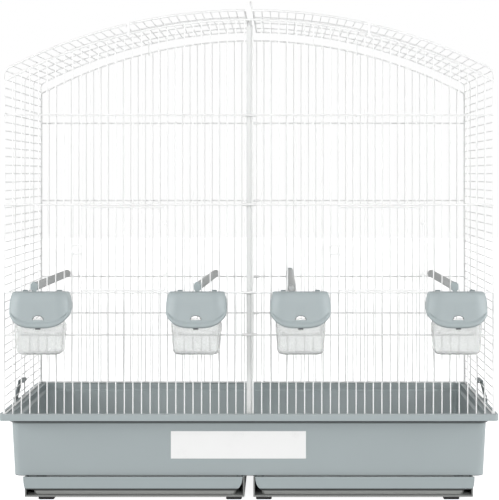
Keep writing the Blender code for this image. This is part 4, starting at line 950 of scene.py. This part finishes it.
def build_hood(index, centre):
    """Feeder hood with its window, lugs and catch, and a dark line of painted shade over the
    window.
    """
    shell = bmesh.new()
    hood_shell(shell, centre)
    bm = cut_out(shell, window_cutter(centre))
    finish_lip(bm, centre)
    known = set(bm.faces)
    for sign in (-1, 1):
        hood_lug(bm, centre + sign * LUG_OFFSET_X)
    # The lugs get the darker copy of the hood colour, painted shade, too.
    known = paint_new(bm, known, 1)
    # Thin wire over the window's arch, painted shade of its edge.
    bent_wire(bm, [(x, front_out(HOOD_REACH - HOOD_FLARE), z) for x, z in window_arc(centre)],
              WINDOW_SHADE_LINE, WINDOW_SHADE_LINE_SIDES)
    top = PERCH_RAIL_Z - HOOD_FRONT_DROP + HOOD_WALL
    face = front_out(HOOD_REACH - HOOD_WALL + CATCH_BITE)
    block(bm, (centre - CATCH_WIDTH / 2, face, top - CATCH_HEIGHT),
          (centre + CATCH_WIDTH / 2, face + CATCH_THICKNESS, top))
    # The window line and the catch take the near-black finish, painted shade.
    paint_new(bm, known, 2)
    piece("feeder_%d_hood_shell" % index, bm, [HOOD_FINISH, HOOD_SHADE_FINISH, HOOD_BLACK_SHADE_FINISH],
          "feeder_hood_%d_body" % index, ["feeder_hood_%d" % index], EDGE_HOOD)


def finish_lip(bm, centre):
    """Give the second finish, painted shade, to the lowest strip of a hood."""
    for patch in bm.faces:
        middle = patch.calc_center_median()
        if middle.z < hood_low_z(middle.x - centre) + HOOD_LIP_STRIP:
            patch.material_index = 1


def cup_line(inset):
    """Closed line round a cup seen from above: (x, reach in front of the wires)."""
    half, front, rear = CUP_HALF_WIDTH - inset, CUP_FRONT - inset, HOOD_REAR + inset
    line = []
    for radius, reach, side in ((CUP_REAR_RADIUS, rear, -1), (CUP_FRONT_RADIUS, front, 1)):
        radius = max(radius - inset, CUP_REAR_RADIUS / 2)
        start = math.pi / 2 * min(side, 0)
        line += arc((half - radius, reach - side * radius), radius, start, start + math.pi / 2,
                    CUP_ROUND_STEPS)
    return line + [(-x, reach) for x, reach in reversed(line)]


def cup_loop(centre, inset, z):
    """One loop of the cup; with no height given it lies on the sloping rim."""
    loop = []
    for x, reach in cup_line(inset):
        share = (reach - HOOD_REAR) / (CUP_FRONT - HOOD_REAR)
        rim = CUP_REAR_Z + (CUP_FRONT_Z - CUP_REAR_Z) * share
        loop.append((centre + x, front_out(reach), rim if z is None else z))
    return loop


def cup_bottom(centre, inset, floor_z, radius):
    """Loops of a rounded bottom, from the floor up to the wall."""
    quarter = arc((inset + radius, floor_z + radius), radius, -math.pi / 2, -math.pi,
                  CUP_ROUND_STEPS)
    return [cup_loop(centre, spread, z) for spread, z in quarter]


def build_cup(index, centre):
    """Clear feeder cup with a ledge below its rim and two hooks behind."""
    wall, low = CUP_WALL, CUP_STEP + CUP_TAPER
    inside = cup_bottom(centre, low + wall, CUP_BOTTOM_Z + wall, CUP_BOTTOM_RADIUS - wall)
    loops = cup_bottom(centre, low, CUP_BOTTOM_Z, CUP_BOTTOM_RADIUS) + [
        cup_loop(centre, CUP_STEP, CUP_STEP_Z),
        cup_loop(centre, 0.0, CUP_STEP_Z + CUP_STEP / 2),
        cup_loop(centre, 0.0, None),
        cup_loop(centre, wall, None),
        cup_loop(centre, CUP_STEP + wall, CUP_STEP_Z),
    ] + inside[::-1]
    bm = bmesh.new()
    wrapped(bm, loops)
    top = FEEDER_RAIL_Z + CUP_HOOK_RISE
    for sign in (-1, 1):
        x = centre + sign * LUG_OFFSET_X
        y = front_out(RAIL_OFFSET) + CUP_HOOK_BACK
        line = [(x, front_out(HOOD_REAR + CUP_STEP + wall), top), (x, y, top),
                (x, y, top - CUP_HOOK_DROP)]
        band(bm, eased(line, CUP_HOOK_CORNER, steps=3), (1, 0, 0), CUP_HOOK_WIDTH,
             CUP_HOOK_THICKNESS)
    known = set(bm.faces)
    back = front_out(HOOD_REAR + wall)
    block(bm, (centre - CUP_RIDGE_WIDTH / 2, back - CUP_RIDGE_DEPTH, CUP_REAR_Z - CUP_RIDGE_HEIGHT),
          (centre + CUP_RIDGE_WIDTH / 2, back, CUP_REAR_Z))
    paint_new(bm, known, 1)
    piece("feeder_%d_clear_cup" % index, bm, [CLEAR_FINISH, RIDGE_FINISH],
          "feeder_cup_%d_body" % index, ["feeder_cup_%d" % index])


# Perches

def build_perch(index):
    """Turned perch rod with eased shoulders and a neck that reaches through the wires."""
    name = "perch_%d" % (index + 1)
    clip_low, clip_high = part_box("perch_clip_%d" % (index + 1))
    clip_z = (clip_low.z + clip_high.z) / 2
    neck_z = clip_low.z + PERCH_NECK_RADIUS
    front = Vector((PERCH_FRONT_SPACES[index] * WIRE_PITCH, FRONT_Y, clip_z))
    back = Vector((PERCH_BACK_SPACES[index] * WIRE_PITCH, BACK_Y, neck_z))
    if index == TURNED_PERCH:
        front.z, back.z = neck_z, clip_z
    clip_end, neck_end = (back, front) if index == TURNED_PERCH else (front, back)
    way = neck_end - clip_end
    shoulder = way.length - PERCH_NECK_IN
    tip = way.length + PERCH_NECK_OUT
    ease, full, neck = PERCH_ROUNDING, PERCH_RADIUS, PERCH_NECK_RADIUS
    profile = [(0, PERCH_CLIP_IN), (full - ease, PERCH_CLIP_IN), (full, PERCH_CLIP_IN + ease),
               (full, shoulder - ease), (full - ease, shoulder), (neck + ease / 2, shoulder),
               (neck, shoulder + ease / 2), (neck, tip - ease), (neck - ease, tip), (0, tip)]
    bm = bmesh.new()
    verts = [bm.verts.new((radius, 0, height)) for radius, height in profile]
    edges = [bm.edges.new(pair) for pair in zip(verts, verts[1:])]
    bmesh.ops.spin(bm, geom=verts + edges, cent=(0, 0, 0), axis=(0, 0, 1), angle=2 * math.pi,
                   steps=PERCH_SIDES, use_merge=True)
    bmesh.ops.remove_doubles(bm, verts=bm.verts, dist=MERGE_DISTANCE)
    turn = way.to_track_quat("Z", "Y").to_matrix().to_4x4()
    bmesh.ops.transform(bm, matrix=Matrix.Translation(clip_end) @ turn, verts=bm.verts)
    piece(name + "_rod", bm, PERCH_FINISH, "cage", [name])


# Divider handle

def build_handle():
    """Loop handle on the divider's top edge."""
    low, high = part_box("divider_handle")
    middle = (low.y + high.y) / 2
    half, top = HANDLE_LENGTH / 2, high.z - HANDLE_RADIUS
    bm = bmesh.new()
    corners = [(0, middle - half, low.z), (0, middle - half, top), (0, middle + half, top),
               (0, middle + half, low.z)]
    bent_wire(bm, eased(corners, HANDLE_CORNER, steps=8), HANDLE_RADIUS, FRAME_SIDES)
    for sign in (-1, 1):
        y = middle + sign * half
        block(bm, (low.x, y - HANDLE_FOOT_LENGTH / 2, low.z),
              (high.x, y + HANDLE_FOOT_LENGTH / 2, low.z + HANDLE_FOOT_HEIGHT))
    piece("divider_loop_handle", bm, WHITE_COATING, "divider_body",
          ["divider_handle"], EDGE_FINE)


# Side clips

def build_side_clip(side, sign):
    """Lever that turns on a pin under the rim, leans in over it and hooks behind a cross wire."""
    low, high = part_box(side + "_side_clip")
    pin = JOINT_PLACES[side + "_side_clip_hinge"]
    out = abs(pin.x) + CLIP_BARREL - CLIP_PLATE / 2
    behind = min(abs(low.x), abs(high.x)) + CLIP_PLATE / 2 - CLIP_TIP_IN
    top = high.z - CLIP_PLATE / 2
    line = [(out, pin.z), (out, RIM_TOP_Z), (SIDE_PLANE + CLIP_TOP_OUT, top - CLIP_HEAD),
            (SIDE_PLANE + CLIP_TOP_OUT, top), (behind, top), (behind, top - CLIP_LIP)]
    points = eased([(sign * x, pin.y, z) for x, z in line], CLIP_BEND, steps=3)
    bm = bmesh.new()
    band(bm, points, (0, 1, 0), CLIP_WIDTH, CLIP_PLATE)
    start = Vector((pin.x, pin.y - CLIP_WIDTH / 2, pin.z))
    round_rod(bm, start, start + Vector((0, CLIP_WIDTH, 0)), CLIP_BARREL, CLIP_BARREL_SIDES)
    # The lever's darkened blue-grey is painted shade.
    piece(side + "_side_clip_lever", bm, CLIP_SHADE_FINISH, side + "_side_clip_body",
          [side + "_side_clip"], EDGE_FINE)


# Moulded pieces whose solids already have their shape

def build_moulded():
    """Tub, drawers, feet, clips and other pieces, with their edges rounded."""
    rows = [("base_tub", [TUB_FINISH, TUB_WALL_FINISH], "cage", "tub", EDGE_TUB),
            ("front_label", LABEL_FINISH, "cage", "label", EDGE_FINE / 2),
            ("divider", SHEET_FINISH, "divider_body", "divider", EDGE_FINE)]
    for side, _ in SIDES:
        rows += [(side + "_drawer_housing", [HOUSING_FINISH, PAINTED_SHADE_FINISH], "cage", "tub",
                  EDGE_FINE),
                 (side + "_drawer", [DRAWER_FINISH, TRAY_FINISH, PAINTED_SHADE_FINISH],
                  side + "_drawer_body", "drawer", EDGE_FINE),
                 (side + "_clip_pin", PIN_FINISH, "cage", "pin", EDGE_FINE / 2)]
        for end in ("front", "back"):
            rows.append(("%s_%s_roof_hook" % (end, side), WHITE_COATING, "cage", "white_wire",
                         EDGE_FINE))
    for i in range(1, 5):
        rows.append(("perch_clip_%d" % i, HOOD_FINISH, "cage", "hood", EDGE_TUB))
        for end in ("front", "back"):
            rows.append(("foot_%s_%d" % (end, i), RUBBER_FINISH, "cage", "rubber", EDGE_FINE))
            rows.append(("%s_divider_guide_%d" % (end, i), WHITE_COATING, "cage", "white_wire",
                         EDGE_FINE))
    for node, finish, body, slot, edge in rows:
        bm = copied(node)
        if node == "base_tub":
            finish_outer_wall(bm, (FRONT_Y + BACK_Y) / 2)
        elif node.endswith("housing"):
            finish_channel(bm, *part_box(node))
        elif isinstance(finish, list):
            finish_tray(bm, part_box(node)[0].y)
        elif node == "divider":
            divider_edge(bm)
        piece(node + "_finished", bm, finish, body, [node], edge)


def finish_outer_wall(bm, middle_y):
    """Ease the tub's shape, and give the second finish, with its painted shade under the rim and at
    the bottom edge, to its walls outside, below the rim.
    """
    for vert in bm.verts:
        side_wall = TUB_SIDE_FROM < abs(vert.co.x) < TUB_SIDE_TO
        if side_wall and vert.co.z < RIM_SEAM_Z + TUB_SIDE_EASE:
            vert.co.x += math.copysign(TUB_SIDE_EASE, vert.co.x)
        if vert.co.z > RIM_TOP_Z - 2 * TUB_BACK_DROP and vert.co.y > BACK_Y - TUB_BACK_FROM:
            vert.co.z -= TUB_BACK_DROP
    for face in bm.faces:
        middle = face.calc_center_median()
        out = face.normal.x * middle.x + face.normal.y * (middle.y - middle_y)
        face.material_index = 1 if out > 0 and middle.z < RIM_SEAM_Z else 0


def divider_edge(bm):
    """Stiff edging down the divider's front, behind the guides."""
    low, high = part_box("divider")
    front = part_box("front_divider_guide_1")[1].y + EDGING_GAP
    block(bm, (-EDGING_HALF_WIDTH, front, low.z + EDGING_GAP),
          (EDGING_HALF_WIDTH, front + EDGING_DEPTH, high.z - EDGING_TOP_DROP))


def finish_channel(bm, low, high):
    """Give the second finish, near-black painted shade, to the inner sides of a housing's walls."""
    middle = (low + high) / 2
    for face in bm.faces:
        centre = face.calc_center_median()
        way = middle - centre
        inner = way.x * face.normal.x + way.y * face.normal.y > 0
        face.material_index = 1 if inner and centre.z > low.z + HOUSING_FLOOR else 0


def finish_tray(bm, front):
    """Give a drawer's finishes to its plate and tray and near-black painted shade to its top edges,
    and close its gaps a little.
    """
    for face in bm.faces:
        middle = face.calc_center_median()
        face.material_index = 1 if middle.y > front + DRAWER_PLATE + DRAWER_PLATE_EDGE else 0
        # Top edges next to the tub's seam get painted shade.
        if middle.z > TUB_SEAM_Z - DRAWER_TOP_STRIP and face.normal.z > FACING_UP:
            face.material_index = 2
    lowest = min(vert.co.z for vert in bm.verts)
    highest = max(vert.co.z for vert in bm.verts)
    for vert in bm.verts:
        if vert.co.z < lowest + DRAWER_SAG:
            vert.co.z -= DRAWER_SAG
        if vert.co.z > highest - DRAWER_PLATE_RISE and vert.co.y < front + 2 * DRAWER_PLATE:
            vert.co.z += DRAWER_PLATE_RISE


# Room, light and camera

def build_room():
    """Pale floor with its shadow in a white room, which the camera sees as white."""
    bm = bmesh.new()
    bmesh.ops.create_circle(bm, cap_ends=True, segments=FLOOR_SIDES, radius=FLOOR_RADIUS)
    floor = placed("floor", mesh_of("floor", bm))
    material, tree, shader = plain_material("pale_floor", Base_Color=FLOOR_COLOUR,
                                            Roughness=FLOOR_ROUGHNESS, Emission_Color=WHITE)
    feed(tree, shader["Emission Strength"],
         maths(tree, "MULTIPLY", seen_directly(tree), FLOOR_LIFT))
    floor.data.materials.append(material)
    world = bpy.context.scene.world or bpy.data.worlds.new("room")
    bpy.context.scene.world = world
    world.use_nodes = True
    tree = world.node_tree
    light = tree.nodes["Background"].inputs
    feed(tree, light["Color"], WHITE)
    lift = maths(tree, "MULTIPLY", seen_directly(tree), 1.0 - ROOM_LEVEL)
    feed(tree, light["Strength"], maths(tree, "ADD", lift, ROOM_LEVEL))


def seen_directly(tree):
    """1 where the camera sees a thing itself, or in glass or gloss, and 0 where it only lights."""
    rays = tree.nodes.new("ShaderNodeLightPath").outputs
    mirrored = maths(tree, "MAXIMUM", rays["Is Glossy Ray"], rays["Is Transmission Ray"])
    return maths(tree, "MAXIMUM", rays["Is Camera Ray"], mirrored)


def add_lamp(name, place, aim, size, power):
    """Soft oblong lamp turned to a point; its size is width and height."""
    lamp = bpy.data.lights.new(name, "AREA")
    lamp.shape = "RECTANGLE"
    lamp.size, lamp.size_y = size
    lamp.energy = power
    thing = placed(name, lamp)
    thing.location = place
    way = Vector(aim) - Vector(place)
    thing.rotation_euler = way.to_track_quat("-Z", "Y").to_euler()


def add_camera():
    """Camera where the photographer stood: level, straight on, a little right of the middle."""
    data = bpy.data.cameras.new("camera")
    data.lens = CAMERA_LENS
    data.sensor_width = CAMERA_SENSOR
    data.shift_x, data.shift_y = CAMERA_SHIFT
    data.clip_end = CAMERA_CLIP_END
    camera = placed("camera", data)
    camera.location = CAMERA_PLACE
    camera.rotation_euler = (math.pi / 2, 0, 0)
    bpy.context.scene.camera = camera


def main():
    """Build the cage, its room, its lamps and its camera."""
    build_panel("front_wire_panel", "front_panel", FRONT_Y, -RAIL_OFFSET, True)
    build_panel("back_wire_panel", "back_panel", BACK_Y, RAIL_OFFSET, False)
    for side, sign in SIDES:
        build_half(side, sign)
        build_door(side)
        build_latch(side)
    for index, centre in enumerate(FEEDER_XS):
        build_hood(index + 1, centre)
        build_cup(index + 1, centre)
        build_perch(index)
    build_handle()
    for side, sign in SIDES:
        build_side_clip(side, sign)
    build_moulded()
    build_room()
    add_lamp("front_lamp", *FRONT_LAMP)
    (x, y, z), *rest = RIGHT_LAMP
    for side, sign in SIDES:
        add_lamp(side + "_lamp", (sign * x, y, z), *rest)
    add_camera()
    bpy.context.scene.view_settings.view_transform = "Standard"


main()
